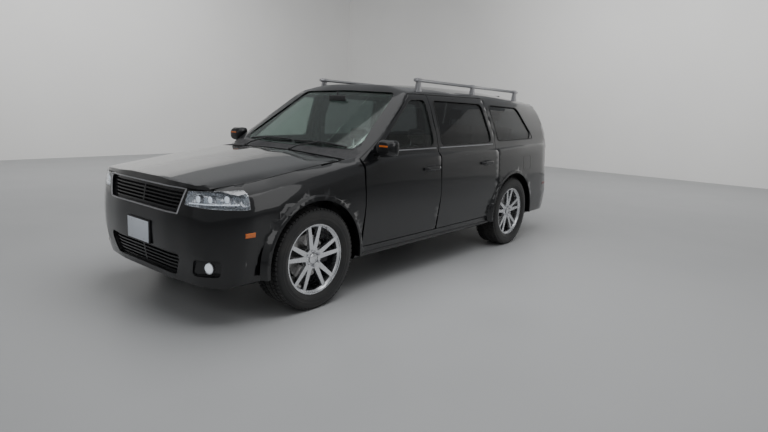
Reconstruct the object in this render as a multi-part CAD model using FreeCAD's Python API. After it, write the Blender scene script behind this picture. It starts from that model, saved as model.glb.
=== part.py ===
import FreeCAD
import Part
import math
import os
from FreeCAD import Vector

# Three-row sport utility vehicle. Millimetres, X to the car's left, front at -Y, ground at Z 0.
os.makedirs("parts", exist_ok=True)

# Driving dimensions
AXLE_FRONT = -1640.0
AXLE_REAR = 1402.0
TYRE_R = 386.5
TYRE_W = 265.0
TRACK_X = 814.0
RIM_R = 267.0
BARREL_R = 242.0
ARCH_R = 448.0
KINGPIN_X = 770.0
GAP = 7.0
DOOR_THICK = 110.0
FRAME_THICK = 45.0
PANEL_THICK = 38.0
BUMPER_THICK = 60.0
SILL_BOTTOM = 290.0
DOOR_BOTTOM = 395.0
DOOR_BEVEL = math.tan(math.radians(20.0))
HINGE_X = 915.0
HINGE_BACK = 40.0
HINGE_HEIGHTS = (540.0, 930.0)
NOSE_R = 57.0
NOSE_GAP = 6.0
NOSE_TOP = 1112.0
PIN_R = 6.0
SMALL_PIN_R = 4.0
PIN_FIT = 0.1
DOOR_INNER_X = 684.0
WHEEL_SIDES = 64
SPINDLE_R = 22.0
BALL_PIN_R = 12.0
BORE_FIT = 0.4
FRONT_DOOR_START = -1120.0
FRONT_DOOR_END = -70.0
REAR_DOOR_START = FRONT_DOOR_END + GAP
HOOD_REAR = -1290.0
HOOD_FRONT_LIP = 948.0
GATE_AXIS_Y = 2121.0
GATE_AXIS_Z = 1704.0
GATE_GAP = 9.0
GATE_TAPER = 0.6
SPOILER_END = 2400.0
HOOD_AXIS_Y = HOOD_REAR + GAP
HOOD_AXIS_Z = 1098.0
HOOD_POCKET_R = 45.0
HOOD_HINGE_X = 640.0
GATE_HINGE_X = 250.0
RAIL_R = 15.0
RAIL_FRONT = (640.0, -150.0, 1779.0)
RAIL_REAR = (612.0, 1950.0, 1753.0)
RAIL_FEET = (60.0, 1050.0, 2040.0)
COLLAR_HALF = 35.0
COLLAR_R = 20.0
DISC_R = 172.0
FLOOR_TOP = 340.0
DECK_START = 1150.0
DECK_TOP = 590.0

# Lower body sections: y, sill width, waist width, shoulder width and z, top edge width and z, crown z
SIDE_TABLE = [
    (-2700, 800, 868, 840, 850, 660, 925, 962),
    (-2200, 868, 932, 905, 925, 740, 998, 1038),
    (-1600, 896, 956, 930, 1012, 795, 1070, 1112),
    (-1000, 902, 958, 936, 1082, 840, 1122, 1158),
    (500, 904, 960, 938, 1100, 855, 1142, 1172),
    (1500, 902, 962, 934, 1118, 855, 1158, 1185),
    (2100, 896, 950, 918, 1130, 835, 1170, 1190),
    (2700, 870, 910, 872, 1140, 795, 1175, 1195),
]

# Plan outlines of the lower body: z, nose y on the centre line, tail y on the centre line
ENDS_TABLE = [
    (150, -2440, 2420),
    (350, -2532, 2530),
    (600, -2555, 2555),
    (800, -2540, 2520),
    (1000, -2495, 2486),
    (1250, -2420, 2444),
]

# Greenhouse sections: y, foot width, side width and z, cant width and z, roof width and z, crown z
ROOF_TABLE = [
    (-1500, 925, 830, 1400, 700, 1610, 430, 1668, 1688),
    (-600, 925, 833, 1410, 706, 1636, 430, 1694, 1714),
    (0, 927, 836, 1415, 710, 1664, 430, 1732, 1752),
    (600, 927, 836, 1415, 710, 1668, 430, 1741, 1762),
    (1500, 925, 832, 1410, 702, 1650, 425, 1720, 1741),
    (2100, 915, 822, 1400, 690, 1616, 420, 1680, 1700),
    (2700, 900, 805, 1390, 670, 1590, 410, 1650, 1670),
]

# Plan outlines of the greenhouse: z, screen y, screen half width, screen bow, rear y
SCREEN_TABLE = [
    (1000, -1474, 890, 190, 2480),
    (1150, -1240, 872, 180, 2456),
    (1400, -850, 800, 142, 2402),
    (1600, -540, 728, 108, 2322),
    (1720, -355, 692, 85, 2262),
    (1820, -200, 660, 70, 2205),
]

# Door outlines: z, front y, rear y, skin x at that height
FRONT_DOOR = [
    (DOOR_BOTTOM, FRONT_DOOR_START, FRONT_DOOR_END, 908),
    (760, FRONT_DOOR_START, FRONT_DOOR_END, 955),
    (1105, FRONT_DOOR_START, FRONT_DOOR_END, 930),
    (1150, -1050, FRONT_DOOR_END, 893),
    (1400, -672, FRONT_DOOR_END, 836),
    (1642, -320, FRONT_DOOR_END, 716),
]
REAR_DOOR = [
    (DOOR_BOTTOM, REAR_DOOR_START, 882, 908),
    (500, REAR_DOOR_START, 895, 925),
    (600, REAR_DOOR_START, 927, 940),
    (700, REAR_DOOR_START, 980, 952),
    (770, REAR_DOOR_START, 1012, 955),
    (1105, REAR_DOOR_START, 1018, 930),
    (1150, REAR_DOOR_START, 1012, 893),
    (1400, REAR_DOOR_START, 985, 836),
    (1642, REAR_DOOR_START, 930, 716),
]

# Gate outline seen from behind: z, half width on the skin, y of the skin there
GATE_TABLE = [
    (782, 765, 2520),
    (940, 822, 2492),
    (1150, 820, 2462),
    (1400, 730, 2400),
    (1570, 655, 2335),
    (1900, 640, 2335),
]

# Side window openings in the side view: y, z, corner radius
FRONT_WINDOW = [(-925, 1178, 25), (-358, 1588, 60), (-132, 1594, 30), (-132, 1184, 25)]
REAR_WINDOW = [(0, 1186, 25), (0, 1594, 30), (868, 1582, 60), (936, 1196, 30)]
QUARTER_WINDOW = [(1082, 1204, 30), (1035, 1576, 50), (1700, 1560, 90), (1950, 1214, 60)]


# Small tools
def box(x0, x1, y0, y1, z0, z1):
    return Part.makeBox(x1 - x0, y1 - y0, z1 - z0, Vector(x0, y0, z0))


def cyl_x(y, z, r, x0, x1):
    return Part.makeCylinder(r, x1 - x0, Vector(x0, y, z), Vector(1, 0, 0))


def cyl_y(x, z, r, y0, y1):
    return Part.makeCylinder(r, y1 - y0, Vector(x, y0, z), Vector(0, 1, 0))


def cyl_z(x, y, r, z0, z1):
    return Part.makeCylinder(r, z1 - z0, Vector(x, y, z0), Vector(0, 0, 1))


def rod(a, b, r):
    start = Vector(*a)
    run = Vector(*b).sub(start)
    return Part.makeCylinder(r, run.Length, start, run)


def mirror(shape):
    return shape.mirror(Vector(0, 0, 0), Vector(1, 0, 0))


def fuse(shapes):
    whole = shapes[0]
    for shape in shapes[1:]:
        whole = whole.fuse(shape)
    return whole.removeSplitter()


def both(shape):
    return Part.makeCompound([shape, mirror(shape)])


def bends(before, here, after):
    cross = (here[0] - before[0]) * (after[1] - here[1]) - (here[1] - before[1]) * (after[0] - here[0])
    return abs(cross) > 1e-3


def tangents(corners):
    """Each corner's arc as its start, its middle point, its end, its centre and its turn."""
    whole = corners + corners[:1]
    corners = [c for i, c in enumerate(corners) if bends(corners[i - 1], c, whole[i + 1])]
    arcs = []
    for i, (a, b, r) in enumerate(corners):
        before = corners[i - 1]
        after = corners[(i + 1) % len(corners)]
        length_in = math.hypot(a - before[0], b - before[1])
        length_out = math.hypot(after[0] - a, after[1] - b)
        ux, uy = (a - before[0]) / length_in, (b - before[1]) / length_in
        vx, vy = (after[0] - a) / length_out, (after[1] - b) / length_out
        half_turn = math.acos(max(-1.0, min(1.0, ux * vx + uy * vy))) / 2
        cut_back = min(r * math.tan(half_turn), 0.48 * min(length_in, length_out))
        radius = cut_back / math.tan(half_turn)
        wx, wy = vx - ux, vy - uy
        size = math.hypot(wx, wy)
        reach = radius / math.cos(half_turn)
        centre = (a + wx / size * reach, b + wy / size * reach)
        middle = (a + wx / size * (reach - radius), b + wy / size * (reach - radius))
        start = (a - ux * cut_back, b - uy * cut_back)
        end = (a + vx * cut_back, b + vy * cut_back)
        arcs.append((start, middle, end, centre, r))
    return arcs


def rounded(corners, place):
    """Closed wire of straight runs joined by tangent arcs; corners hold a, b and a radius."""
    arcs = tangents(corners)
    edges = []
    for i, (start, middle, end, centre, r) in enumerate(arcs):
        edges.append(Part.Arc(place(*start), place(*middle), place(*end)).toShape())
        following = arcs[(i + 1) % len(arcs)][0]
        edges.append(Part.LineSegment(place(*end), place(*following)).toShape())
    return Part.Wire(edges)


def chord_count(radius, fine):
    """A tight corner of a body section takes more chords than a wide one."""
    if not fine or radius > 1200:
        return 1
    return 2 if radius > 200 else 4


def section(corners, place, fine):
    """Closed wire in which each corner's arc is a fixed number of chords, for lofting."""
    points = []
    for start, middle, end, centre, r in tangents(corners):
        first = math.atan2(start[1] - centre[1], start[0] - centre[0])
        sweep = math.atan2(end[1] - centre[1], end[0] - centre[0]) - first
        sweep = (sweep + math.pi) % (2 * math.pi) - math.pi
        radius = math.hypot(start[0] - centre[0], start[1] - centre[1])
        steps = chord_count(r, fine)
        for k in range(steps + 1):
            angle = first + sweep * k / steps
            points.append(place(centre[0] + radius * math.cos(angle), centre[1] + radius * math.sin(angle)))
    return Part.makePolygon(points + points[:1])


def prism_x(corners, x0, x1):
    wire = rounded(corners, lambda a, b: Vector(x0, a, b))
    return Part.Face(wire).extrude(Vector(x1 - x0, 0, 0))


def prism_y(corners, y0, y1):
    wire = rounded(corners, lambda a, b: Vector(a, y0, b))
    return Part.Face(wire).extrude(Vector(0, y1 - y0, 0))


def prism_z(corners, z0, z1):
    wire = rounded(corners, lambda a, b: Vector(a, b, z0))
    return Part.Face(wire).extrude(Vector(0, 0, z1 - z0))


def ngon(place, radius, sides):
    """Closed many-sided wire whose corners lie on a circle; place turns two numbers into a point."""
    turns = [2 * math.pi * k / sides for k in range(sides)]
    points = [place(radius * math.cos(turn), radius * math.sin(turn)) for turn in turns]
    return Part.makePolygon(points + points[:1])


def drum_x(stations, y, z, sides):
    """Many-sided drum about an axis along X; stations hold x and radius in order of x."""
    wires = [ngon(lambda a, b, x=x: Vector(x, y + a, z + b), radius, sides) for x, radius in stations]
    return Part.makeLoft(wires, True, True)


def drum_y(x, z, r, y0, y1, sides):
    wires = [ngon(lambda a, b, y=y: Vector(x + a, y, z + b), r, sides) for y in (y0, y1)]
    return Part.makeLoft(wires, True, True)


def drum_z(stations, x, y, sides):
    wires = [ngon(lambda a, b, z=z: Vector(x + a, y + b, z), radius, sides) for z, radius in stations]
    return Part.makeLoft(wires, True, True)


def poly_x(points, x0, x1):
    wire = Part.makePolygon([Vector(x0, a, b) for a, b in points + points[:1]])
    return Part.Face(wire).extrude(Vector(x1 - x0, 0, 0))


def poly_y(points, y0, y1):
    wire = Part.makePolygon([Vector(a, y0, b) for a, b in points + points[:1]])
    return Part.Face(wire).extrude(Vector(0, y1 - y0, 0))


def poly_z(points, z0, z1):
    wire = Part.makePolygon([Vector(a, b, z0) for a, b in points + points[:1]])
    return Part.Face(wire).extrude(Vector(0, 0, z1 - z0))


def symmetric(corners):
    """Right half given from the centre line round; the left half is its mirror."""
    left = [(-a, b, r) for a, b, r in reversed(corners) if abs(a) > 0.01]
    return corners + left


def export(name, shape):
    shape.exportStep("parts/" + name + ".step")
    print(name, "solids", len(shape.Solids), "valid", shape.isValid())


# Body volumes, each with an inset that gives the inner side of a panel
def side_volume(inset):
    wires = []
    for y, sill, waist, sw, sz, ew, ez, crown in SIDE_TABLE:
        half = [
            (0, crown - inset, 4000),
            (ew - inset, ez - inset, 260),
            (sw - inset, sz - inset * 0.6, 90),
            (waist - inset, 740, 900),
            (sill - inset, SILL_BOTTOM, 50),
        ]
        wires.append(section(symmetric(half), lambda a, b, y=y: Vector(a, y, b), inset == 0))
    return Part.makeLoft(wires, True, False, False, 3)


def ends_volume(inset):
    wires = []
    for z, nose, tail in ENDS_TABLE:
        half = [
            (0, nose + inset, 3000),
            (760 - inset * 0.4, nose + 90 + inset, 330),
            (945 - inset, nose + 330 + inset, 400),
            (1045 - inset, nose + 900, 200),
            (1045 - inset, tail - 700, 200),
            (930 - inset, tail - 230 - inset, 300),
            (770 - inset * 0.4, tail - 75 - inset, 240),
            (0, tail - inset, 4000),
        ]
        left = [(-a, b, r) for a, b, r in reversed(half[1:-1])]
        wires.append(section(half + left, lambda a, b, z=z: Vector(a, b, z), inset == 0))
    return Part.makeLoft(wires, True, False, False, 3)


def roof_volume(inset):
    wires = []
    for y, foot, sw, sz, cw, cz, rw, rz, crown in ROOF_TABLE:
        half = [
            (0, crown - inset, 6000),
            (rw, rz - inset, 900),
            (cw - inset * 0.8, cz - inset * 0.8, 115),
            (sw - inset, sz - inset * 0.3, 1500),
            (foot - inset, 1000, 30),
        ]
        wires.append(section(symmetric(half), lambda a, b, y=y: Vector(a, y, b), inset < 20))
    return Part.makeLoft(wires, True, False, False, 3)


def screen_volume(inset):
    wires = []
    for z, front, half_width, bow, rear in SCREEN_TABLE:
        half = [
            (0, front + inset * 1.8, 2500),
            (half_width - inset * 0.3, front + bow + inset * 1.8, 110),
            (1150, front + bow + 330 + inset * 1.8, 60),
            (1150, rear - 420 - inset, 60),
            (820, rear - 75 - inset, 180),
            (0, rear - inset, 3000),
        ]
        left = [(-a, b, r) for a, b, r in reversed(half[1:-1])]
        wires.append(section(half + left, lambda a, b, z=z: Vector(a, b, z), inset == 0))
    return Part.makeLoft(wires, True, False, False, 3)


def lower_body(inset):
    return side_volume(inset).common(ends_volume(inset))


def greenhouse(inset):
    return roof_volume(inset).common(screen_volume(inset))


LOWER = lower_body(0.0)
UPPER = greenhouse(0.0)
LOWER_IN = lower_body(PANEL_THICK)
BUMPER_IN = lower_body(BUMPER_THICK)
UPPER_IN = greenhouse(FRAME_THICK)
GLASS_OUT = greenhouse(9.0)
GLASS_IN = greenhouse(14.0)
CABIN_LOW = side_volume(DOOR_THICK).common(BUMPER_IN).common(box(-1200, 1200, -1128, 2384, 300, 1300))
CABIN_WAIST = box(-806, 806, -1128, 2300, 600, 1040)
CABIN_HIGH = UPPER_IN.common(box(-1200, 1200, -1250, 2600, 1024, 1900))
CABIN = CABIN_LOW.fuse(CABIN_WAIST).fuse(CABIN_HIGH)


# Regions that split the skin into panels
def door_region(table, grow):
    """Stack of four-sided slices; the rear edge is bevelled so that it swings out clear."""
    wires = []
    last = len(table) - 1
    for i, (z, front, rear, skin) in enumerate(table):
        z_level = z - grow if i == 0 else z + grow if i == last else z
        outer_x = 1100.0
        inner_x = DOOR_INNER_X - grow
        front_y = front - grow
        rear_outer = rear + grow + DOOR_BEVEL * (outer_x - skin)
        rear_inner = rear + grow - DOOR_BEVEL * (skin - inner_x)
        corners = [
            Vector(outer_x, front_y, z_level),
            Vector(outer_x, rear_outer, z_level),
            Vector(inner_x, rear_inner, z_level),
            Vector(inner_x, front_y, z_level),
        ]
        wires.append(Part.makePolygon(corners + corners[:1]))
    return Part.makeLoft(wires, True, True)


def gate_region(grow):
    """Tapered towards the inside so that the gate lifts clear of the rear pillars."""
    wires = []
    for y in (2700.0, 2050.0):
        half = []
        for i, (z, width, skin_y) in enumerate(GATE_TABLE):
            level = z - grow if i == 0 else z
            half.append((width + grow + GATE_TAPER * (y - skin_y), level))
        points = half + [(-a, b) for a, b in reversed(half)]
        corners = [Vector(a, y, b) for a, b in points]
        wires.append(Part.makePolygon(corners + corners[:1]))
    whole = Part.makeLoft(wires, True, True)
    front = GATE_AXIS_Y + GATE_GAP / 2 - grow
    split = [(front, 1950), (front, 1600), (2290, 1150), (2330, 700), (2750, 700), (2750, 1950)]
    return whole.common(poly_x(split, -1000, 1000))


def hood_region(grow):
    half = [
        (0, -2600 - grow, 20),
        (700 + grow, -2600 - grow, 60),
        (790 + grow, -2130, 400),
        (812 + grow, HOOD_REAR + grow, 25),
        (0, HOOD_REAR + grow, 20),
    ]
    left = [(-a, b, r) for a, b, r in reversed(half[1:-1])]
    return prism_z(half[:-1] + [half[-1]] + left, HOOD_FRONT_LIP - grow, 1400)


FRONT_BUMPER_REGION = poly_x(
    [(-2700, 100), (-2152, 100), (-2152, 792), (-2190, 812), (-2700, 812)], -1200, 1200
).fuse(box(-760, 760, -2700, -2300, 700, HOOD_FRONT_LIP - 5))
HEADLAMP_REGION = poly_y(
    [(545, 838), (560, 930), (905, 955), (1000, 955), (1000, 842), (905, 826)], -2700, -2215
)
GRILLE_OUTLINE = [(-470, 775, 30), (470, 775, 30), (530, 935, 30), (-530, 935, 30)]
INTAKE_OUTLINE = [(-430, 335, 30), (430, 335, 30), (520, 500, 40), (-520, 500, 40)]
GRILLE_REGION = prism_y(GRILLE_OUTLINE, -2700, -2380)
INTAKE_REGION = prism_y(INTAKE_OUTLINE, -2700, -2380)
FOG_REGION = prism_y(
    [(610, 360, 25), (800, 372, 25), (820, 490, 25), (640, 480, 25)], -2700, -2250
)
REAR_BUMPER_REGION = poly_x(
    [(1870, 100), (1870, 560), (2170, 772), (2700, 772), (2700, 100)], -1200, 1200
)
TAIL_LAMP_REGION = box(600, 1200, 2262, 2700, 965, 1092)
ROOF_REGION = box(-640, 640, -700, 2118, 1600, 1900)
COWL_REGION = box(-1200, 1200, -1500, -1060, 1040, 1162)

DOOR_FL = door_region(FRONT_DOOR, 0.0)
DOOR_FL_HOLE = door_region(FRONT_DOOR, GAP)
DOOR_RL = door_region(REAR_DOOR, 0.0)
DOOR_RL_HOLE = door_region(REAR_DOOR, GAP)
GATE = gate_region(0.0)
GATE_HOLE = gate_region(GATE_GAP)
HOOD = hood_region(0.0)
HOOD_HOLE = hood_region(GAP)
HOOD_POCKET = cyl_x(HOOD_AXIS_Y, HOOD_AXIS_Z, HOOD_POCKET_R, -819, 819)
FRONT_AXIS_Y = FRONT_DOOR_START + HINGE_BACK
REAR_AXIS_Y = REAR_DOOR_START + HINGE_BACK


def nose_pocket(axis_y):
    """Room for the door's rounded front edge as it swings inwards."""
    return cyl_z(HINGE_X, axis_y, NOSE_R + NOSE_GAP, DOOR_BOTTOM - GAP, NOSE_TOP)


FRONT_POCKET = nose_pocket(FRONT_AXIS_Y)
REAR_POCKET = nose_pocket(REAR_AXIS_Y)

SCREEN_HOLE = prism_y(
    [(-770, 1172, 60), (0, 1160, 3000), (770, 1172, 60), (598, 1652, 70), (0, 1668, 3000),
     (-598, 1652, 70)], -1600, -100
)
BACKLIGHT_HOLE = prism_y(
    [(-610, 1196, 50), (610, 1196, 50), (520, 1560, 70), (0, 1576, 3000), (-520, 1560, 70)],
    2050, 2700
)


# Wheel arch flares stand proud of the skin round each opening
def flare(y):
    cone = Part.makeCone(504, 478, 45, Vector(918, y, TYRE_R), Vector(1, 0, 0))
    return cone.cut(cyl_x(y, TYRE_R, 445, 900, 1000)).cut(box(900, 1000, y - 600, y + 600, -300, 330))


ARCH_FRONT = cyl_x(AXLE_FRONT, TYRE_R, ARCH_R, 466, 1100)
ARCH_FRONT = ARCH_FRONT.fuse(box(466, 1100, AXLE_FRONT - ARCH_R, AXLE_FRONT + ARCH_R, 0, TYRE_R))
ARCH_REAR = cyl_x(AXLE_REAR, TYRE_R, ARCH_R, 640, 1100)
ARCH_REAR = ARCH_REAR.fuse(box(640, 1100, AXLE_REAR - ARCH_R, AXLE_REAR + ARCH_R, 0, TYRE_R))


# Hood and fenders
hood_shell = LOWER.common(HOOD).cut(LOWER_IN)
knuckles = []
ears = []
for x in (-HOOD_HINGE_X, HOOD_HINGE_X):
    barrel = drum_x([(x - 20, 8), (x + 20, 8)], HOOD_AXIS_Y, HOOD_AXIS_Z, 16)
    leaf = box(x - 20, x + 20, HOOD_REAR - 22, HOOD_AXIS_Y, HOOD_AXIS_Z - 8, HOOD_AXIS_Z + 2)
    knuckles.append(barrel.fuse(leaf).cut(
        cyl_x(HOOD_AXIS_Y, HOOD_AXIS_Z, SMALL_PIN_R + PIN_FIT, x - 30, x + 30)))
    ear_side = [(HOOD_AXIS_Y, HOOD_AXIS_Z + 6), (HOOD_AXIS_Y, HOOD_AXIS_Z - 8), (-1232, 1058),
                (-1232, 1088)]
    for start in (x - 34, x + 21):
        ears.append(poly_x(ear_side, start, start + 13).fuse(
            drum_x([(start, 8), (start + 13, 8)], HOOD_AXIS_Y, HOOD_AXIS_Z, 16)))
    ears.append(cyl_x(HOOD_AXIS_Y, HOOD_AXIS_Z, SMALL_PIN_R, x - 34, x + 34))
for x in (-HOOD_HINGE_X, HOOD_HINGE_X):
    hood_shell = hood_shell.cut(drum_x([(x - 40, 14), (x + 40, 14)], HOOD_AXIS_Y, HOOD_AXIS_Z, 16))
HOOD_PANEL = fuse([hood_shell] + knuckles)
export("hood", HOOD_PANEL)

front_half = box(0, 1200, -2700, FRONT_DOOR_START - GAP, 0, 1400)
fender = LOWER.fuse(flare(AXLE_FRONT)).common(front_half).cut(LOWER_IN)
fender = fender.cut(box(0, 760, -2700, 0, 0, 1400)).cut(FRONT_BUMPER_REGION)
fender = fender.cut(HEADLAMP_REGION).cut(HOOD_HOLE).cut(COWL_REGION.common(box(0, 830, -1500, 0, 0, 1400)))
fender = fender.cut(ARCH_FRONT).cut(HOOD_POCKET).cut(FRONT_POCKET)
liner = cyl_x(AXLE_FRONT, TYRE_R, ARCH_R + 6, 452, 925).cut(ARCH_FRONT)
liner = liner.cut(box(0, 1200, -2700, 0, -300, 330)).cut(box(400, 466, -2700, 0, -300, 575))
fender = fender.fuse(liner).removeSplitter()
FENDER = fender
export("fender_left", FENDER)
export("fender_right", mirror(FENDER))


# Rear quarter, pillars, cant rail and rocker of one side
left_half = box(0, 1200, -2700, 2700, 0, 1900)
side = LOWER.fuse(UPPER).fuse(flare(AXLE_REAR)).common(left_half).cut(CABIN)
side = side.cut(box(-10, 780, -2700, 2700, 0, 1010)).cut(box(-10, 560, -2700, -900, 0, 1140))
side = side.cut(box(-10, 1200, -2700, FRONT_DOOR_START - GAP, 0, 1090))
side = side.cut(box(-10, 1200, -2700, -1300, 0, 1900)).cut(COWL_REGION.common(box(0, 830, -1500, 0, 0, 1400)))
side = side.cut(FENDER).cut(HOOD_HOLE).cut(HOOD_POCKET).cut(ROOF_REGION).cut(SCREEN_HOLE)
side = side.cut(DOOR_FL_HOLE).cut(DOOR_RL_HOLE).cut(GATE_HOLE).cut(FRONT_POCKET).cut(REAR_POCKET)
side = side.cut(REAR_BUMPER_REGION).cut(TAIL_LAMP_REGION).cut(ARCH_REAR)
side = side.cut(prism_x(QUARTER_WINDOW, 500, 1100))
liner = cyl_x(AXLE_REAR, TYRE_R, ARCH_R + 8, 630, 925).cut(ARCH_REAR)
liner = liner.cut(box(0, 1200, 0, 2700, -300, 330)).cut(DOOR_RL_HOLE)
liner = liner.cut(box(600, 642, 0, 2700, -300, DECK_TOP))
POST_PROFILE = [
    (812, 345), (812, 380), (778, 388), (778, 420), (806, 600), (816, 740), (816, 900), (796, 990),
    (796, 1180),
    (768, 1400), (664, 1600), (664, 1662), (642, 1662), (642, 1598), (731, 1400), (755, 1180), (755, 600),
    (738, 420), (738, 345),
]
A_POST_PROFILE = [
    (812, 345), (812, 380), (778, 388), (778, 420), (806, 600), (816, 740), (816, 900), (796, 980),
    (755, 980), (738, 420), (738, 345),
]
b_post = poly_y(POST_PROFILE, REAR_AXIS_Y - 60, REAR_AXIS_Y + 50)
a_post = poly_y(A_POST_PROFILE, FRONT_DOOR_START - GAP - 0.5, FRONT_AXIS_Y + 30)
face_post = box(738, 940, FRONT_DOOR_START - GAP - PANEL_THICK, FRONT_DOOR_START - GAP, 330, 1100)
face_post = face_post.common(LOWER_IN).cut(FRONT_POCKET)


def door_hinges(axis_y):
    """Arms that reach from the post into the door's front edge, with a pin each."""
    shapes = []
    for z in HINGE_HEIGHTS:
        arm = box(790, HINGE_X, axis_y - 9, axis_y + 9, z - 20, z + 20)
        boss = drum_z([(z - 20, 10), (z + 20, 10)], HINGE_X, axis_y, 16)
        if z == HINGE_HEIGHTS[0]:
            pin = cyl_z(HINGE_X, axis_y, PIN_R, z - 46, z + 46)
        else:
            pin = drum_z([(z - 46, PIN_R), (z + 46, PIN_R)], HINGE_X, axis_y, 16)
        shapes += [arm, boss, pin]
    return shapes


hinges = door_hinges(FRONT_AXIS_Y) + door_hinges(REAR_AXIS_Y)
parts_side = [s for s in side.Solids if s.Volume > 1e5]
BODY_SIDE = fuse(parts_side + [liner, b_post, a_post, face_post] + hinges)
export("body_side_left", BODY_SIDE)
export("body_side_right", mirror(BODY_SIDE))

roof = UPPER.cut(UPPER_IN).common(ROOF_REGION).cut(SCREEN_HOLE).cut(GATE_HOLE)
gate_knuckles = []
roof_ears = []


def gate_leaf(y0, y1, x0, x1):
    return box(x0, x1, y0, y1, 1672, GATE_AXIS_Z)


for x in (-GATE_HINGE_X, GATE_HINGE_X):
    roof_ears.append(cyl_x(GATE_AXIS_Y, GATE_AXIS_Z, SMALL_PIN_R, x - 34, x + 34))
    for start in (x - 34, x + 21):
        roof_ears.append(drum_x([(start, 9), (start + 13, 9)], GATE_AXIS_Y, GATE_AXIS_Z, 16))
        roof_ears.append(gate_leaf(GATE_AXIS_Y - 40, GATE_AXIS_Y - 4.5, start, start + 13))
    knuckle = drum_x([(x - 20, 9), (x + 20, 9)], GATE_AXIS_Y, GATE_AXIS_Z, 16)
    knuckle = knuckle.fuse(gate_leaf(GATE_AXIS_Y + 4.5, GATE_AXIS_Y + 40, x - 20, x + 20))
    bore = cyl_x(GATE_AXIS_Y, GATE_AXIS_Z, SMALL_PIN_R + PIN_FIT, x - 30, x + 30)
    gate_knuckles.append(knuckle.cut(bore))
ROOF = fuse([roof] + roof_ears)
export("roof_panel", ROOF)

cowl = LOWER.fuse(UPPER).common(box(-830, 830, -1500, -1060, 1040, 1162)).cut(CABIN)
cowl = cowl.cut(HOOD_HOLE).cut(HOOD_POCKET).cut(LOWER_IN.common(box(-900, 900, -1600, -1130, 0, 1090)))
cowl = cowl.cut(box(-900, 900, -1600, HOOD_REAR - 1, 0, 1400)).cut(BODY_SIDE).cut(mirror(BODY_SIDE))
cowl = cowl.cut(SCREEN_HOLE).cut(both(DOOR_FL_HOLE))
COWL = fuse([cowl] + ears)
export("cowl_panel", COWL)

# Front bumper with the lamps and the grille
face = LOWER.common(FRONT_BUMPER_REGION).cut(BUMPER_IN)
face = face.cut(both(HEADLAMP_REGION)).cut(GRILLE_REGION).cut(INTAKE_REGION).cut(both(FOG_REGION))
face = face.cut(both(ARCH_FRONT)).cut(HOOD_HOLE).cut(box(-1000, 1000, -2700, -2000, 100, 255))
FRONT_BUMPER = face
export("front_bumper", FRONT_BUMPER)



def slots(bottom, top, rows, slot, narrow, wide, upright):
    """Open rows between level bars, in two halves with a middle upright between them."""
    cells = []
    step = (top - bottom) / rows
    for row in range(rows):
        low = bottom + step * (row + 0.5) - slot / 2
        end = narrow + (wide - narrow) * (row + 0.5) / rows
        corners = [(upright, low), (end, low), (end, low + slot), (upright, low + slot)]
        cell = poly_y(corners, -2700, -2300)
        cells += [cell, mirror(cell)]
    return Part.makeCompound(cells)


grille_skin = lower_body(22.0).cut(lower_body(50.0))
upper_grille = grille_skin.common(GRILLE_REGION).cut(slots(793, 917, 5, 15, 448, 494, 9))
lower_grille = grille_skin.common(INTAKE_REGION).cut(slots(352, 484, 5, 16, 408, 472, 9))
export("grille", Part.makeCompound(upper_grille.Solids + lower_grille.Solids))

lamp = LOWER.common(HEADLAMP_REGION).cut(BUMPER_IN).cut(HOOD_HOLE)
HEADLAMP = lamp
export("headlamps", both(HEADLAMP))
fog = lower_body(10.0).cut(lower_body(50.0)).common(FOG_REGION)
export("fog_lamps", both(fog))

# Rear bumper and lamps
rear = LOWER.common(REAR_BUMPER_REGION).cut(BUMPER_IN).cut(both(ARCH_REAR))
rear = rear.cut(box(-1000, 1000, 1800, 2700, 100, 300))
REAR_BUMPER = rear
export("rear_bumper", REAR_BUMPER)
tail = LOWER.common(TAIL_LAMP_REGION).cut(CABIN).cut(GATE_HOLE)
tail = tail.cut(box(0, 780, 2000, 2384, 900, 1200))
tail = sorted(tail.Solids, key=lambda s: -s.Volume)[0]
export("tail_lamps", both(tail))

# Glass that stays with the body
glass_shell = GLASS_OUT.cut(GLASS_IN)
SCREEN = glass_shell.common(prism_y(
    [(-769.7, 1172.3, 60), (0, 1160.3, 3000), (769.7, 1172.3, 60), (597.7, 1651.7, 70), (0, 1667.7, 3000),
     (-597.7, 1651.7, 70)], -1600, -100))
export("windshield", SCREEN)
QUARTER = glass_shell.common(prism_x(QUARTER_WINDOW, 500, 1100))
export("quarter_windows", both(QUARTER))

# Doors, each one panel with a solid lower half and a thinner window frame
def door(hole, window, axis_y):
    whole = LOWER.fuse(UPPER).common(hole).cut(CABIN)
    whole = whole.cut(prism_x(window, 500, 1100))
    nose = box(500, 1100, axis_y - 200, axis_y, DOOR_BOTTOM - 20, NOSE_TOP - 4)
    whole = whole.cut(nose.cut(cyl_z(HINGE_X, axis_y, NOSE_R, 300, 1200)))
    for z in HINGE_HEIGHTS:
        whole = whole.cut(box(700, HINGE_X + 13, axis_y - 80, axis_y + 16, z - 26, z + 26))
        whole = whole.cut(cyl_z(HINGE_X, axis_y, PIN_R + PIN_FIT, z - 50, z + 50))
    return sorted(whole.Solids, key=lambda s: -s.Volume)[0]


FRONT_DOOR_PANEL = door(DOOR_FL, FRONT_WINDOW, FRONT_AXIS_Y).cut(REAR_POCKET)
REAR_DOOR_PANEL = door(DOOR_RL, REAR_WINDOW, REAR_AXIS_Y)
export("door_front_left", FRONT_DOOR_PANEL)
export("door_front_right", mirror(FRONT_DOOR_PANEL))
export("door_rear_left", REAR_DOOR_PANEL)
export("door_rear_right", mirror(REAR_DOOR_PANEL))
FRONT_GLASS = glass_shell.common(prism_x(FRONT_WINDOW, 500, 1100))
REAR_GLASS = glass_shell.common(prism_x(REAR_WINDOW, 500, 1100))
export("glass_front_left", FRONT_GLASS)
export("glass_front_right", mirror(FRONT_GLASS))
export("glass_rear_left", REAR_GLASS)
export("glass_rear_right", mirror(REAR_GLASS))

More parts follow.
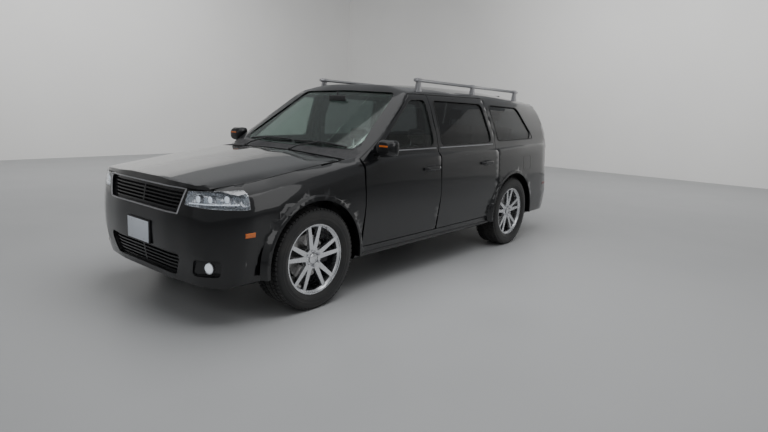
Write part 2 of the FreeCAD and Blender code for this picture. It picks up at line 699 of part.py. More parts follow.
# Liftgate
gate = LOWER.fuse(UPPER).common(GATE).cut(UPPER_IN.common(box(-2000, 2000, 0, 3000, 1024, 2000)))
gate = gate.cut(lower_body(66.0).common(box(-2000, 2000, 0, 3000, 700, 1160)))
gate = gate.cut(BACKLIGHT_HOLE)
spoiler = roof_volume(0.0).cut(roof_volume(22.0))
spoiler = spoiler.common(box(-590, 590, 2235, SPOILER_END, 1560, 1800))
LIFTGATE = fuse([sorted(gate.Solids, key=lambda s: -s.Volume)[0], spoiler] + gate_knuckles)
export("liftgate", LIFTGATE)
BACKLIGHT = glass_shell.common(BACKLIGHT_HOLE)
export("liftgate_glass", BACKLIGHT)

# Mirrors
def mirror_unit():
    """Housing lofted from a large rear outline, at the glass, to a smaller one in front."""
    wires = []
    for y, x0, x1, z0, z1, r in ((-900, 918, 1086, 1118, 1258, 30), (-960, 920, 1084, 1116, 1260, 36),
                                 (-1004, 938, 1062, 1132, 1243, 40)):
        corners = [(x0, z0, r), (x1, z0 + 18, r), (x1, z1, r), (x0, z1, r)]
        wires.append(section(corners, lambda a, b, y=y: Vector(a, y, b), True))
    stalk = box(884, 940, -985, -925, 1126, 1152)
    return Part.makeLoft(wires, True, False, False, 3).fuse(stalk).removeSplitter()


MIRROR = mirror_unit().cut(FRONT_DOOR_PANEL)
export("mirror_left", MIRROR)
export("mirror_right", mirror(MIRROR))

# Floor, firewall, front rails
floor = box(-735, 735, -1130, DECK_START, 300, FLOOR_TOP)
floor = floor.fuse(both(box(734, 780, -1126, AXLE_REAR - ARCH_R - 20, 300, FLOOR_TOP)))
floor = floor.cut(both(box(628, 800, AXLE_REAR - ARCH_R - 20, DECK_START + 10, 200, 400)))
rear_deck = box(-628, 628, DECK_START, 2380, DECK_TOP - 30, DECK_TOP)
riser = box(-628, 628, DECK_START - 15, DECK_START, 300, DECK_TOP)
firewall = box(-735, 735, -1150, -1130, 300, 1036).cut(box(-130, 130, -1160, -1120, 290, 450))
tunnel = box(-150, 150, -1130, 480, FLOOR_TOP, 470).cut(box(-130, 130, -1131, 465, 290, 450))
floor = floor.cut(box(-130, 130, -1140, 465, 290, 345))
rails = both(box(360, 420, -2330, -1150, 430, 530))
FLOOR = fuse([floor, rear_deck, riser, firewall, tunnel, rails.Solids[0], rails.Solids[1]])
export("floor_pan", FLOOR)

# Engine and the gearbox as one plain block, with the radiator
engine = fuse([box(-270, 270, -2220, -1560, 380, 900), box(-125, 125, -1560, -820, 330, 440),
               box(-360, 360, -1950, -1870, 440, 500)])
radiator = box(-360, 360, -2390, -2330, 330, 760)
export("engine_block", Part.makeCompound([engine, radiator]))

# Dashboard, console and steering column
DASH_PROFILE = [
    (-1130, 760), (-1130, 1030), (-900, 1020), (-760, 960), (-760, 820), (-860, 700), (-1000, 640),
]
WHEEL_HUB = (380, -612, 967.6)
BOSS_HALF = 20.0
dash = poly_x(DASH_PROFILE, -800, 800).cut(both(box(734, 900, -1200, -1045, 0, 1100)))
console = box(-140, 140, -1000, 150, 470, 640)
wheel_axis = Vector(0, 220, 60).normalize()
hub = Vector(*WHEEL_HUB)
column_end = hub.sub(Vector(wheel_axis).multiply(BOSS_HALF + 0.3))
column_start = hub.sub(Vector(wheel_axis).multiply(250))
column = rod(tuple(column_start), tuple(column_end), 28)
export("dashboard", fuse([dash, console, column]))
ring_profile = []
for k in range(6):
    turn = math.radians(60 * k)
    across = Vector(182 + 15 * math.cos(turn), 0, 0)
    ring_profile.append(hub.add(across).add(wheel_axis * 15 * math.sin(turn)))
ring = Part.Face(Part.makePolygon(ring_profile + ring_profile[:1])).revolve(hub, wheel_axis, 360)
boss = Part.makeCylinder(60, 2 * BOSS_HALF, hub.sub(Vector(wheel_axis).multiply(BOSS_HALF)), wheel_axis)
spoke = box(380 - 175, 380 + 175, hub.y - 9, hub.y + 9, hub.z - 16, hub.z + 16)
export("steering_wheel", fuse([ring, boss, spoke]))


# Seats: cushion, back and head restraint
def seat(x0, x1, y, z, lean):
    cushion = Part.makeBox(x1 - x0, 520, 150, Vector(x0, y, z))
    back = Part.makeBox(x1 - x0 - 20, 130, 620, Vector(x0 + 10, y + 470, z + 100))
    back.rotate(Vector(0, y + 500, z + 100), Vector(1, 0, 0), -lean)
    top = Vector(0, y + 500 + 640 * math.sin(math.radians(lean)), z + 90 + 640 * math.cos(math.radians(lean)))
    middle = (x0 + x1) / 2
    rest = Part.makeBox(240, 100, 150, Vector(middle - 120, top.y - 30, top.z + 15))
    posts = [drum_z([(top.z - 60, 7), (top.z + 30, 7)], middle + s * 60, top.y + 20, 8) for s in (-1, 1)]
    base = Part.makeBox(x1 - x0 - 120, 380, 60, Vector(x0 + 60, y + 60, z - 60))
    return [cushion, back, rest, base] + posts


front_seat = fuse(seat(180, 690, -420, 400, 14))
export("seats_front", both(front_seat))
second = fuse(seat(60, 612, 500, 400, 16))
export("seat_second_row", both(second))
third = fuse(seat(20, 560, 1330, DECK_TOP + 60, 12))
export("seat_third_row", both(third))

# Roof rails on feet
rail = rod(RAIL_FRONT, RAIL_REAR, RAIL_R)
rail_line = Vector(*RAIL_REAR).sub(Vector(*RAIL_FRONT)).normalize()
feet = []
for along in RAIL_FEET:
    low_end = Vector(*RAIL_FRONT).add(rail_line * (along - COLLAR_HALF))
    high_end = Vector(*RAIL_FRONT).add(rail_line * (along + COLLAR_HALF))
    middle = low_end.add(high_end) * 0.5
    feet.append(rod(tuple(low_end), tuple(high_end), COLLAR_R))
    foot_side = [(middle.y - 60, 1600), (middle.y + 60, 1600), (middle.y + 20, middle.z),
                 (middle.y - 20, middle.z)]
    feet.append(poly_x(foot_side, middle.x - 13, middle.x + 13))
ROOF_RAIL = fuse([rail] + feet).cut(UPPER)
ROOF_RAIL = sorted(ROOF_RAIL.Solids, key=lambda s: -s.Volume)[0]
export("roof_rails", both(ROOF_RAIL))


# Wheels: tyre, rim and brake disc at one place, then moved to the four corners
def wheel_parts():
    half = TYRE_W / 2
    c = TRACK_X
    shoulder = TYRE_R - 34
    outside = [(c - half, shoulder), (c - half + 30, TYRE_R), (c + half - 30, TYRE_R), (c + half, shoulder)]
    inside = [(c - half, RIM_R + 38), (c - 98, RIM_R), (c + 98, RIM_R), (c + half, RIM_R + 38)]
    tyre = drum_x(outside, 0, 0, WHEEL_SIDES).cut(drum_x(inside, 0, 0, WHEEL_SIDES))
    barrel = [(c - 112, RIM_R + 7), (c - 98, RIM_R), (c + 98, RIM_R), (c + 112, RIM_R + 7)]
    hollow = [(c - 112, BARREL_R + 8), (c + 92, BARREL_R), (c + 112, RIM_R - 6)]
    rim = drum_x(barrel, 0, 0, WHEEL_SIDES).cut(drum_x(hollow, 0, 0, WHEEL_SIDES))
    shapes = [rim, drum_x([(c + 50, 84), (c + 84, 76)], 0, 0, 30)]
    for k in range(5):
        for side_step in (-12, 12):
            sections = []
            for radius, x0, x1, wide in ((60, c + 54, c + 84, 20), (250, c + 70, c + 100, 14)):
                corners = [Vector(x0, -wide, radius), Vector(x1, -wide, radius), Vector(x1, wide, radius),
                           Vector(x0, wide, radius)]
                sections.append(Part.makePolygon(corners + corners[:1]))
            arm = Part.makeLoft(sections, True, True)
            arm.rotate(Vector(0, 0, 0), Vector(1, 0, 0), 72 * k + side_step)
            shapes.append(arm)
    bore = cyl_x(0, 0, SPINDLE_R + BORE_FIT, 700, 1000)
    rim = fuse(shapes).cut(bore.common(box(700, c + 66, -100, 100, -100, 100)))
    hat = drum_x([(c + 2, 80), (c + 50, 80)], 0, 0, 30)
    disc = drum_x([(c - 20, DISC_R), (c + 2, DISC_R)], 0, 0, 48).fuse(hat)
    return tyre, rim, disc.removeSplitter().cut(bore)


TYRE, RIM, DISC = wheel_parts()
for name, y in (("front", AXLE_FRONT), ("rear", AXLE_REAR)):
    for piece, shape in (("tyre", TYRE), ("rim", RIM), ("disc", DISC)):
        placed = shape.copy()
        placed.translate(Vector(0, y, TYRE_R))
        export(piece + "_" + name + "_left", placed)
        export(piece + "_" + name + "_right", mirror(placed))

# Front knuckles with caliper and spindle
upright = box(745, 782, AXLE_FRONT - 42, AXLE_FRONT + 42, 238, 534)
spindle = cyl_x(AXLE_FRONT, TYRE_R, SPINDLE_R, 775, 862)
bridge = poly_x([(AXLE_FRONT + 40, 420), (AXLE_FRONT + 120, 420), (AXLE_FRONT + 150, 330),
                 (AXLE_FRONT + 40, 330)], 752, 772)
caliper = box(752, 842, AXLE_FRONT + 100, AXLE_FRONT + 196, 320, 450)
caliper = caliper.cut(drum_x([(782, 180), (824, 180)], AXLE_FRONT, TYRE_R, 48))
caliper = caliper.cut(drum_x([(790, 96), (900, 96)], AXLE_FRONT, TYRE_R, 30))
caliper = caliper.common(drum_x([(700, 220), (900, 220)], AXLE_FRONT, TYRE_R, 48))
lower_pin = cyl_z(KINGPIN_X, AXLE_FRONT, BALL_PIN_R, 205, 240)
upper_pin = drum_z([(530, BALL_PIN_R), (565, BALL_PIN_R)], KINGPIN_X, AXLE_FRONT, 16)
KNUCKLE = fuse([upright, spindle, bridge, caliper, lower_pin, upper_pin])
export("knuckle_left", KNUCKLE)
export("knuckle_right", mirror(KNUCKLE))

# Front suspension: subframe, arms and coil struts
STRUT_X = 580.0
STRUT_TOP = 831.6
ARM_TIP = [(735, -28), (766, -24), (782, -13), (787, -5), (787, 5), (782, 13), (766, 24), (735, 28)]
ARM_END = [(x, AXLE_FRONT + y) for x, y in ARM_TIP]
LOWER_ARM = [(400, -1800)] + ARM_END + [(400, -1480)]
LOWER_ARM_WINDOW = [(440, -1745), (700, -1655), (700, -1625), (440, -1535)]
UPPER_ARM = [(440, -1750)] + ARM_END + [(440, -1530)]
ball_bore = cyl_z(KINGPIN_X, AXLE_FRONT, BALL_PIN_R + PIN_FIT, 150, 600)
subframe = box(-420, 420, -1900, -1450, 250, 300).cut(box(-300, 300, -1780, -1560, 200, 400))
lower_arm = poly_z(LOWER_ARM, 212, 234).cut(ball_bore).cut(poly_z(LOWER_ARM_WINDOW, 200, 300))
tower = box(424, 450, -1760, -1520, 300, 565)
upper_arm = poly_z(UPPER_ARM, 540, 560).cut(ball_bore).cut(box(520, 640, -1700, -1580, 500, 600))
strut = drum_z([(234, 28), (500, 28)], STRUT_X, AXLE_FRONT, 12)
strut = strut.fuse(drum_z([(400, 48), (STRUT_TOP, 48)], STRUT_X, AXLE_FRONT, 16))
lower_bridge = box(540, 620, AXLE_FRONT - 70, AXLE_FRONT + 70, 212, 240)
side_frame = box(380, 450, -1840, -1440, 250, 330)
mount_leg = box(380, 420, -1700, -1580, 320, 430)
corner = fuse([lower_arm, tower, upper_arm, strut, lower_bridge, side_frame, mount_leg])
FRONT_SUSPENSION = fuse([subframe, corner, mirror(corner)])
export("front_suspension", FRONT_SUSPENSION)

# Rear suspension with hubs, differential and half shafts
beam = both(box(420, 480, 1180, 1650, 280, 340))
cross = box(-480, 480, 1180, 1240, 290, 340).fuse(box(-480, 480, 1560, 1620, 290, 340))
diff = drum_x([(-140, 70), (-90, 95), (90, 95), (140, 70)], AXLE_REAR, TYRE_R, 16)
diff = diff.fuse(box(-60, 60, 1236, 1400, 330, 430))
hanger = box(-150, 150, 1470, 1600, 330, 400)
shaft = drum_x([(130, 18), (760, 18)], AXLE_REAR, TYRE_R, 12)
hub_rear = box(740, 776, AXLE_REAR - 55, AXLE_REAR + 55, 260, 500)
hub_rear = hub_rear.fuse(cyl_x(AXLE_REAR, TYRE_R, SPINDLE_R, 770, 862))
arm_low = box(440, 745, AXLE_REAR - 45, AXLE_REAR + 45, 262, 290)
arm_up = box(440, 745, AXLE_REAR - 30, AXLE_REAR + 30, 470, 492)
post = box(440, 470, AXLE_REAR - 60, AXLE_REAR + 60, 290, DECK_TOP - 30)
damper = drum_z([(280, 24), (480, 24)], 560, AXLE_REAR, 12)
damper = damper.fuse(drum_z([(440, 42), (DECK_TOP - 30, 42)], 560, AXLE_REAR, 16))
corner = fuse([shaft, hub_rear, arm_low, arm_up, post, damper])
REAR_SUSPENSION = fuse(beam.Solids + [cross, diff, hanger, corner, mirror(corner)])
export("rear_suspension", REAR_SUSPENSION)

# Fuel tank and exhaust
export("fuel_tank", box(-600, -170, 250, 880, 226, 299.7))
pipe = drum_y(-60, 252, 24, -820, 1805, 12)
muffler = poly_y([(-560, 258), (-540, 238), (540, 238), (560, 258), (560, 348), (540, 368), (-540, 368),
                  (-560, 348)], 1800, 2110)
tips = [drum_y(side * 500, 268, 28, 2105, 2490, 20) for side in (-1, 1)]
hangers = [box(side * 300 - 8, side * 300 + 8, 1942, 1958, 360, DECK_TOP - 30) for side in (-1, 1)]
hangers.append(box(-68, -52, -308, -292, 260, 450))
export("exhaust", fuse([pipe, muffler] + tips + hangers))
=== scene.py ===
# %% [markdown]
# A black three-row sport utility vehicle, dressed for a studio picture.
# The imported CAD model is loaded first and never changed: it fixes every size, place and hinge line.
# Everything below adds finish and fine form to it, piece by piece, and each piece rides on a CAD body.

import math
from contextlib import contextmanager

import bmesh
import bpy
import numpy as np
from mathutils import Matrix, Vector
from mathutils.bvhtree import BVHTree


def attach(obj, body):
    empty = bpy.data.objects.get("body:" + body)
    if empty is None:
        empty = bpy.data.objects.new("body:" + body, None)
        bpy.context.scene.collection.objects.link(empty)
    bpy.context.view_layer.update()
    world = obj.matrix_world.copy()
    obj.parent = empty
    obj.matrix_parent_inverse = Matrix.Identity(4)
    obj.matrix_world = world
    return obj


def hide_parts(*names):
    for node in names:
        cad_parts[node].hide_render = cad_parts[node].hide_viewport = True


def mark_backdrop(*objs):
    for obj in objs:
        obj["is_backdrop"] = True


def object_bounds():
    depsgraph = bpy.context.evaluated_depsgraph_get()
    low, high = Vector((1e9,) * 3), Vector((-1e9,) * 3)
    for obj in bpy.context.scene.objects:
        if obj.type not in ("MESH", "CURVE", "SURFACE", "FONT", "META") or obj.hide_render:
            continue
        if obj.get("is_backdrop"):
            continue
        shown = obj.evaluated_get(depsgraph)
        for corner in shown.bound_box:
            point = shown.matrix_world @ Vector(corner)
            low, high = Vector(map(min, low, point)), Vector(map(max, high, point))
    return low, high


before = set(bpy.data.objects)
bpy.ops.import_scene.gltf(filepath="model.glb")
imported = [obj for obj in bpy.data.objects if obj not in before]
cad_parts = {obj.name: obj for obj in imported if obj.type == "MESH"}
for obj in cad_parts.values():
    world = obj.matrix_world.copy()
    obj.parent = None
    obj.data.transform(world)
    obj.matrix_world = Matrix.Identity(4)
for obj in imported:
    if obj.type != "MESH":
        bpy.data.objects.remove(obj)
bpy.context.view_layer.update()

# %% [markdown]
# Numbers that are shared with the CAD source: axles, wheel and tyre sizes and the track, all in metres.
# A place on the painted skin is not typed in but measured, by a ray that stops at the CAD mesh.

# %% Shared places and the ray helper
AXLE = {"front": -1.640, "rear": 1.402}
WHEEL_Z = 0.3865
TYRE_RADIUS = 0.3865
TRACK = 0.814
RIM_RADIUS = 0.267
SIDES = {"left": 1, "right": -1}
CORNERS = [(row, side) for row in AXLE for side in SIDES]

trees = {}


def tree_of(node):
    """A ray-casting tree of one CAD node."""
    if node not in trees:
        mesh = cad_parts[node].data
        corners = [v.co.copy() for v in mesh.vertices]
        trees[node] = BVHTree.FromPolygons(corners, [list(p.vertices) for p in mesh.polygons])
    return trees[node]


def touch(nodes, start, direction):
    """First point and outward normal that a ray meets on any of these nodes, or None."""
    best = None
    heading = Vector(direction).normalized()
    for node in nodes:
        place, normal, index, distance = tree_of(node).ray_cast(Vector(start), heading)
        if place is not None and (best is None or distance < best[2]):
            best = (place, normal if normal.dot(heading) < 0 else -normal, distance)
    return best


def side_touch(nodes, y, z, sign=1):
    """Where the skin is at this y and z, seen from the side."""
    return touch(nodes, (sign * 1.6, y, z), (-sign, 0, 0))


# %% [markdown]
# Small makers. A finished piece has its place in its mesh and its object at the origin, so each maker
# works in car coordinates from the start, names the piece and lets it ride on its body.

# %% Mesh makers


def link(name, data):
    """Object with this mesh, light or camera as its data, put into the scene."""
    piece = bpy.data.objects.new(name, data)
    bpy.context.scene.collection.objects.link(piece)
    return piece


@contextmanager
def editing(mesh):
    """Open a mesh for editing and write it back at the end."""
    form = bmesh.new()
    form.from_mesh(mesh)
    yield form
    form.to_mesh(mesh)
    form.free()


def cleaned(mesh):
    """Merge points that coincide and turn every face outwards."""
    with editing(mesh) as form:
        bmesh.ops.remove_doubles(form, verts=form.verts, dist=1e-6)
        bmesh.ops.recalc_face_normals(form, faces=form.faces)


def shaded(mesh, angle):
    """Smooth shading up to a crease angle in degrees."""
    mesh.shade_smooth()
    mesh.set_sharp_from_angle(angle=math.radians(angle))


def evaluated_mesh(thing):
    """Plain mesh of an object with its modifiers or its curve settings applied."""
    graph = bpy.context.evaluated_depsgraph_get()
    graph.update()
    return bpy.data.meshes.new_from_object(thing.evaluated_get(graph), depsgraph=graph)


def mesh_piece(name, verts, faces, material=None, smooth=None):
    """Object from points and faces, with normals made to point outwards."""
    mesh = bpy.data.meshes.new(name)
    mesh.from_pydata([tuple(v) for v in verts], [], faces)
    cleaned(mesh)
    if smooth is not None:
        shaded(mesh, smooth)
    piece = link(name, mesh)
    if material is not None:
        mesh.materials.append(material)
    return piece


def finish_modifiers(piece):
    """Turn the object and its modifiers into one plain mesh."""
    mesh = evaluated_mesh(piece)
    piece.modifiers.clear()
    piece.data = mesh


def walled(piece, thickness):
    """Give an open skin a wall on its inner side."""
    wall = piece.modifiers.new("wall", "SOLIDIFY")
    wall.thickness = thickness
    wall.offset = -1.0
    finish_modifiers(piece)


def beveled(piece, width, segments=2, angle=40):
    """Round the edges that are sharper than angle, in degrees."""
    bevel = piece.modifiers.new("edge", "BEVEL")
    bevel.width = width
    bevel.segments = segments
    bevel.limit_method = "ANGLE"
    bevel.angle_limit = math.radians(angle)
    bevel.harden_normals = False
    finish_modifiers(piece)
    shaded(piece.data, angle)


def joined(name, pieces):
    """Several objects made into one mesh."""
    verts, faces, slots, which = [], [], [], []
    for piece in pieces:
        offset = len(verts)
        verts += [v.co.copy() for v in piece.data.vertices]
        index = []
        for material in piece.data.materials:
            if material not in slots:
                slots.append(material)
            index.append(slots.index(material))
        for face in piece.data.polygons:
            faces.append([offset + i for i in face.vertices])
            which.append(index[face.material_index] if index else 0)
        bpy.data.objects.remove(piece)
    mesh = bpy.data.meshes.new(name)
    mesh.from_pydata(verts, [], faces)
    for material in slots:
        mesh.materials.append(material)
    mesh.polygons.foreach_set("material_index", which)
    shaded(mesh, 35)
    return link(name, mesh)


def block(name, low, high, material=None, bevel=0.0, segments=2):
    """A box with rounded edges, used only as one part of a larger piece."""
    (x0, y0, z0), (x1, y1, z1) = low, high
    verts = [(x, y, z) for x in (x0, x1) for y in (y0, y1) for z in (z0, z1)]
    faces = [(0, 1, 3, 2), (4, 6, 7, 5), (0, 4, 5, 1), (2, 3, 7, 6), (0, 2, 6, 4), (1, 5, 7, 3)]
    piece = mesh_piece(name, verts, faces, material)
    if bevel:
        beveled(piece, bevel, segments)
    return piece


def turned(name, profile, centre, axis="x", steps=96, material=None, smooth=35, closed=True):
    """Solid of revolution; profile holds the place along the axis and the radius."""
    verts, faces = [], []
    count = len(profile)
    for k in range(steps):
        turn = 2 * math.pi * k / steps
        for along, radius in profile:
            a, b = radius * math.cos(turn), radius * math.sin(turn)
            offset = {"x": (along, a, b), "y": (b, along, a), "z": (a, b, along)}[axis]
            verts.append(Vector(centre) + Vector(offset))
    last = count if closed else count - 1
    for k in range(steps):
        for i in range(last):
            j = (i + 1) % count
            m = (k + 1) % steps
            faces.append((k * count + i, k * count + j, m * count + j, m * count + i))
    return mesh_piece(name, verts, faces, material, smooth)


def lofted(name, rings, material, smooth=None):
    """Closed solid through rings that all have the same number of points."""
    around = len(rings[0])
    verts = [v for ring in rings for v in ring]
    faces = [(around * k + m, around * k + (m + 1) % around,
              around * (k + 1) + (m + 1) % around, around * (k + 1) + m)
             for k in range(len(rings) - 1) for m in range(around)]
    faces += [tuple(range(around)), tuple(range(len(verts) - around, len(verts)))]
    return mesh_piece(name, verts, faces, material, smooth)


def tube(name, points, radius, material, sides=12, cyclic=False):
    """Round bar that follows points, made through a curve and turned into a mesh."""
    curve = bpy.data.curves.new(name, "CURVE")
    curve.dimensions = "3D"
    curve.bevel_depth = radius
    curve.bevel_resolution = max(0, sides // 4 - 1)
    curve.use_fill_caps = not cyclic
    spline = curve.splines.new("POLY")
    spline.points.add(len(points) - 1)
    for point, place in zip(spline.points, points):
        point.co = (*place, 1)
    spline.use_cyclic_u = cyclic
    holder = link(name + "_curve", curve)
    mesh = evaluated_mesh(holder)
    bpy.data.objects.remove(holder)
    bpy.data.curves.remove(curve)
    mesh.name = name
    cleaned(mesh)
    shaded(mesh, 40)
    mesh.materials.clear()
    mesh.materials.append(material)
    return link(name, mesh)


def mounted(piece, body, nodes=()):
    """Ride on a body and stand for CAD nodes where it replaces them, which are hidden."""
    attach(piece, body)
    if nodes:
        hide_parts(*nodes)
    return piece


print("mesh makers ready")

# %% [markdown]
# The camera stands where the photographer stood: ahead of the car's left front corner, at eye height,
# turned 40 degrees and tilted a little down. It was found by fitting the wheels and the roof line.

# %% Camera
CAMERA_PLACE = Vector((3.8519, -4.3645, 1.5217))
CAMERA_YAW = math.radians(39.90)
CAMERA_PITCH = math.radians(11.21)
CAMERA_ROLL = math.radians(2.16)
FOCAL_MM = 25.82
SENSOR_MM = 36.0

view = Vector((-math.sin(CAMERA_YAW) * math.cos(CAMERA_PITCH), math.cos(CAMERA_YAW) * math.cos(CAMERA_PITCH),
               -math.sin(CAMERA_PITCH)))
level = Vector((math.cos(CAMERA_YAW), math.sin(CAMERA_YAW), 0))
above = level.cross(view)
right = level * math.cos(CAMERA_ROLL) + above * math.sin(CAMERA_ROLL)
up = above * math.cos(CAMERA_ROLL) - level * math.sin(CAMERA_ROLL)
lens = bpy.data.cameras.new("camera")
lens.sensor_width = SENSOR_MM
lens.lens = FOCAL_MM
camera = link("camera", lens)
turn = Matrix((right, up, -view)).transposed().to_4x4()
camera.matrix_world = Matrix.Translation(CAMERA_PLACE) @ turn
bpy.context.scene.camera = camera
print("camera at", [round(v, 3) for v in CAMERA_PLACE], "focal length", FOCAL_MM)

# %% [markdown]
# Finishes. Each one is a small node tree on the surface shader. A value that is the same all over sits on
# the shader's own socket, and only what really varies over the surface, such as grain, dust or brushing,
# comes through nodes. Patterns read Object coordinates, which are car coordinates here.

# %% Material helpers


def finish(name, color, roughness, metallic=0.0, **sockets):
    """A material with its even values set on the shader; returns the material, its tree and its shader."""
    material = bpy.data.materials.new(name)
    material.use_nodes = True
    tree = material.node_tree
    shader = tree.nodes["Principled BSDF"]
    shader.inputs["Base Color"].default_value = (*color, 1)
    shader.inputs["Roughness"].default_value = roughness
    shader.inputs["Metallic"].default_value = metallic
    for socket, value in sockets.items():
        shader.inputs[socket.replace("_", " ")].default_value = value
    material.diffuse_color = (*color, 1)
    return material, tree, shader


def place_node(tree, scale=(1, 1, 1)):
    """Object coordinates, stretched by scale."""
    source = tree.nodes.new("ShaderNodeTexCoord")
    mapping = tree.nodes.new("ShaderNodeMapping")
    mapping.inputs["Scale"].default_value = scale
    tree.links.new(source.outputs["Object"], mapping.inputs["Vector"])
    return mapping.outputs["Vector"]


def noise(tree, place, scale, detail=3.0, rough=0.5):
    """Soft noise between 0 and 1."""
    node = tree.nodes.new("ShaderNodeTexNoise")
    node.inputs["Scale"].default_value = scale
    node.inputs["Detail"].default_value = detail
    node.inputs["Roughness"].default_value = rough
    tree.links.new(place, node.inputs["Vector"])
    return node.outputs["Fac"]


def cells(tree, place, scale):
    """Distance to the middle of the nearest cell of a scattered pattern."""
    node = tree.nodes.new("ShaderNodeTexVoronoi")
    node.inputs["Scale"].default_value = scale
    tree.links.new(place, node.inputs["Vector"])
    return node.outputs["Distance"]


def spread(tree, value, low, high, out_low, out_high):
    """Map a varying value from one range to another."""
    node = tree.nodes.new("ShaderNodeMapRange")
    for socket, number in (("From Min", low), ("From Max", high), ("To Min", out_low), ("To Max", out_high)):
        node.inputs[socket].default_value = number
    tree.links.new(value, node.inputs["Value"])
    return node.outputs["Result"]


def mixed(tree, factor, first, second):
    """Blend two colours by a varying factor."""
    node = tree.nodes.new("ShaderNodeMix")
    node.data_type = "RGBA"
    node.inputs[6].default_value = (*first, 1)
    node.inputs[7].default_value = (*second, 1)
    tree.links.new(factor, node.inputs[0])
    return node.outputs[2]


def tinted(tree, shader, factor, first, second):
    """Let the base colour run between two colours."""
    tree.links.new(mixed(tree, factor, first, second), shader.inputs["Base Color"])


def glossed(tree, shader, value, low, high, out_low, out_high):
    """Let the roughness follow a varying value."""
    tree.links.new(spread(tree, value, low, high, out_low, out_high), shader.inputs["Roughness"])


def bumped(tree, shader, height, strength, distance):
    """Fine relief of the shading only; distance is its depth in metres."""
    node = tree.nodes.new("ShaderNodeBump")
    node.inputs["Strength"].default_value = strength
    node.inputs["Distance"].default_value = distance
    tree.links.new(height, node.inputs["Height"])
    tree.links.new(node.outputs["Normal"], shader.inputs["Normal"])


def height_of(tree):
    """Height of the place on the car above the ground."""
    split = tree.nodes.new("ShaderNodeSeparateXYZ")
    tree.links.new(place_node(tree), split.inputs["Vector"])
    return split.outputs["Z"]


def maths(tree, operation, *values):
    """A maths node over sockets and plain numbers."""
    node = tree.nodes.new("ShaderNodeMath")
    node.operation = operation
    for socket, value in zip(node.inputs, values):
        if isinstance(value, (int, float)):
            socket.default_value = value
        else:
            tree.links.new(value, socket)
    return node.outputs[0]


# %% [markdown]
# Paint and plastics. The paint is near black under a clear coat, with fine flakes and a film of dust that
# grows towards the sills. The plastics share one grain that differs in size and depth.

# %% Paint and plastics
paint, tree, shader = finish("paint_black", (0.004, 0.0042, 0.005), 0.35, 0.2, Coat_Weight=1.0,
                             Coat_Roughness=0.03, Specular_IOR_Level=0.25)
flake = cells(tree, place_node(tree), 2600.0)
dust = maths(tree, "MULTIPLY", noise(tree, place_node(tree), 5.0),
             spread(tree, height_of(tree), 0.75, 0.3, 0.0, 1.0))
dust = spread(tree, dust, 0.25, 0.6, 0.0, 1.0)
tinted(tree, shader, spread(tree, flake, 0.0, 0.25, 1.0, 0.0), (0.004, 0.0042, 0.005), (0.014, 0.0145, 0.016))
glossed(tree, shader, dust, 0.0, 1.0, 0.32, 0.46)
bumped(tree, shader, noise(tree, place_node(tree), 140.0, 1.0), 0.012, 0.001)


def plastic(name, color, roughness, grain=900.0, depth=0.0003, strength=0.35):
    """Moulded plastic with a fine leather-like grain and slightly uneven gloss."""
    material, tree, shader = finish(name, color, roughness)
    place = place_node(tree)
    bumped(tree, shader, cells(tree, place, grain), strength, depth)
    glossed(tree, shader, noise(tree, place, 14.0), 0.3, 0.7, roughness - 0.07, roughness + 0.07)
    pale = tuple(c * 1.35 + 0.004 for c in color)
    tinted(tree, shader, spread(tree, noise(tree, place, 60.0), 0.35, 0.65, 0.0, 1.0), color, pale)
    return material


textured_black = plastic("textured_black", (0.018, 0.018, 0.019), 0.55)
gloss_black = plastic("gloss_black", (0.008, 0.008, 0.009), 0.14, 2000.0, 0.00005, 0.05)
cabin_plastic = plastic("cabin_plastic", (0.028, 0.028, 0.03), 0.62, 700.0)
underbody_coat = plastic("underbody_coat", (0.03, 0.03, 0.031), 0.7, 260.0, 0.0015, 0.5)
rubber_seal = plastic("rubber_seal", (0.012, 0.012, 0.012), 0.75, 1400.0)
plate_white, tree, shader = finish("plate_white", (0.62, 0.66, 0.72), 0.4)
tinted(tree, shader, noise(tree, place_node(tree), 5.0), (0.60, 0.64, 0.70), (0.66, 0.70, 0.76))
print("paint and plastics ready")

# %% [markdown]
# Metals differ in colour, polish and the direction of brushing. Glass is tinted by row, as on real cars.
# The lenses, the tyre rubber, the seat covers, the carpet and the screens have a pattern of their own.

# %% Metals, glass, lenses, tyre and soft trim


def metal(name, color, roughness, brush=None, coat=0.0):
    """Metal with faint uneven polish; brush stretches the pattern along one direction."""
    material, tree, shader = finish(name, color, roughness, 1.0, Coat_Weight=coat, Coat_Roughness=0.05)
    place = place_node(tree, brush or (1, 1, 1))
    grain = noise(tree, place, 160.0 if brush else 30.0, 4.0)
    glossed(tree, shader, grain, 0.3, 0.7, roughness - 0.05, roughness + 0.08)
    bumped(tree, shader, grain, 0.06, 0.0003)
    return material


bright_silver = metal("bright_silver", (0.78, 0.79, 0.81), 0.26, coat=0.6)
satin_metal = metal("satin_metal", (0.55, 0.55, 0.57), 0.32, (1, 0.04, 1))
dark_metal = metal("dark_metal", (0.10, 0.10, 0.105), 0.42)
cast_metal = metal("cast_metal", (0.36, 0.36, 0.37), 0.5)
disc_steel = metal("disc_steel", (0.42, 0.41, 0.40), 0.3, (30, 1, 1))
chassis_iron = metal("chassis_iron", (0.07, 0.07, 0.072), 0.6)
exhaust_steel = metal("exhaust_steel", (0.5, 0.48, 0.45), 0.35, (1, 0.05, 1))
mirror_silver = metal("mirror_silver", (0.9, 0.91, 0.92), 0.05)


def clear(name, color, roughness=0.02, ior=1.45):
    """Tinted glass with faint smears."""
    material, tree, shader = finish(name, color, roughness, Transmission_Weight=1.0, IOR=ior)
    smear = noise(tree, place_node(tree), 7.0, 2.0)
    glossed(tree, shader, smear, 0.3, 0.7, roughness, roughness + 0.03)
    return material


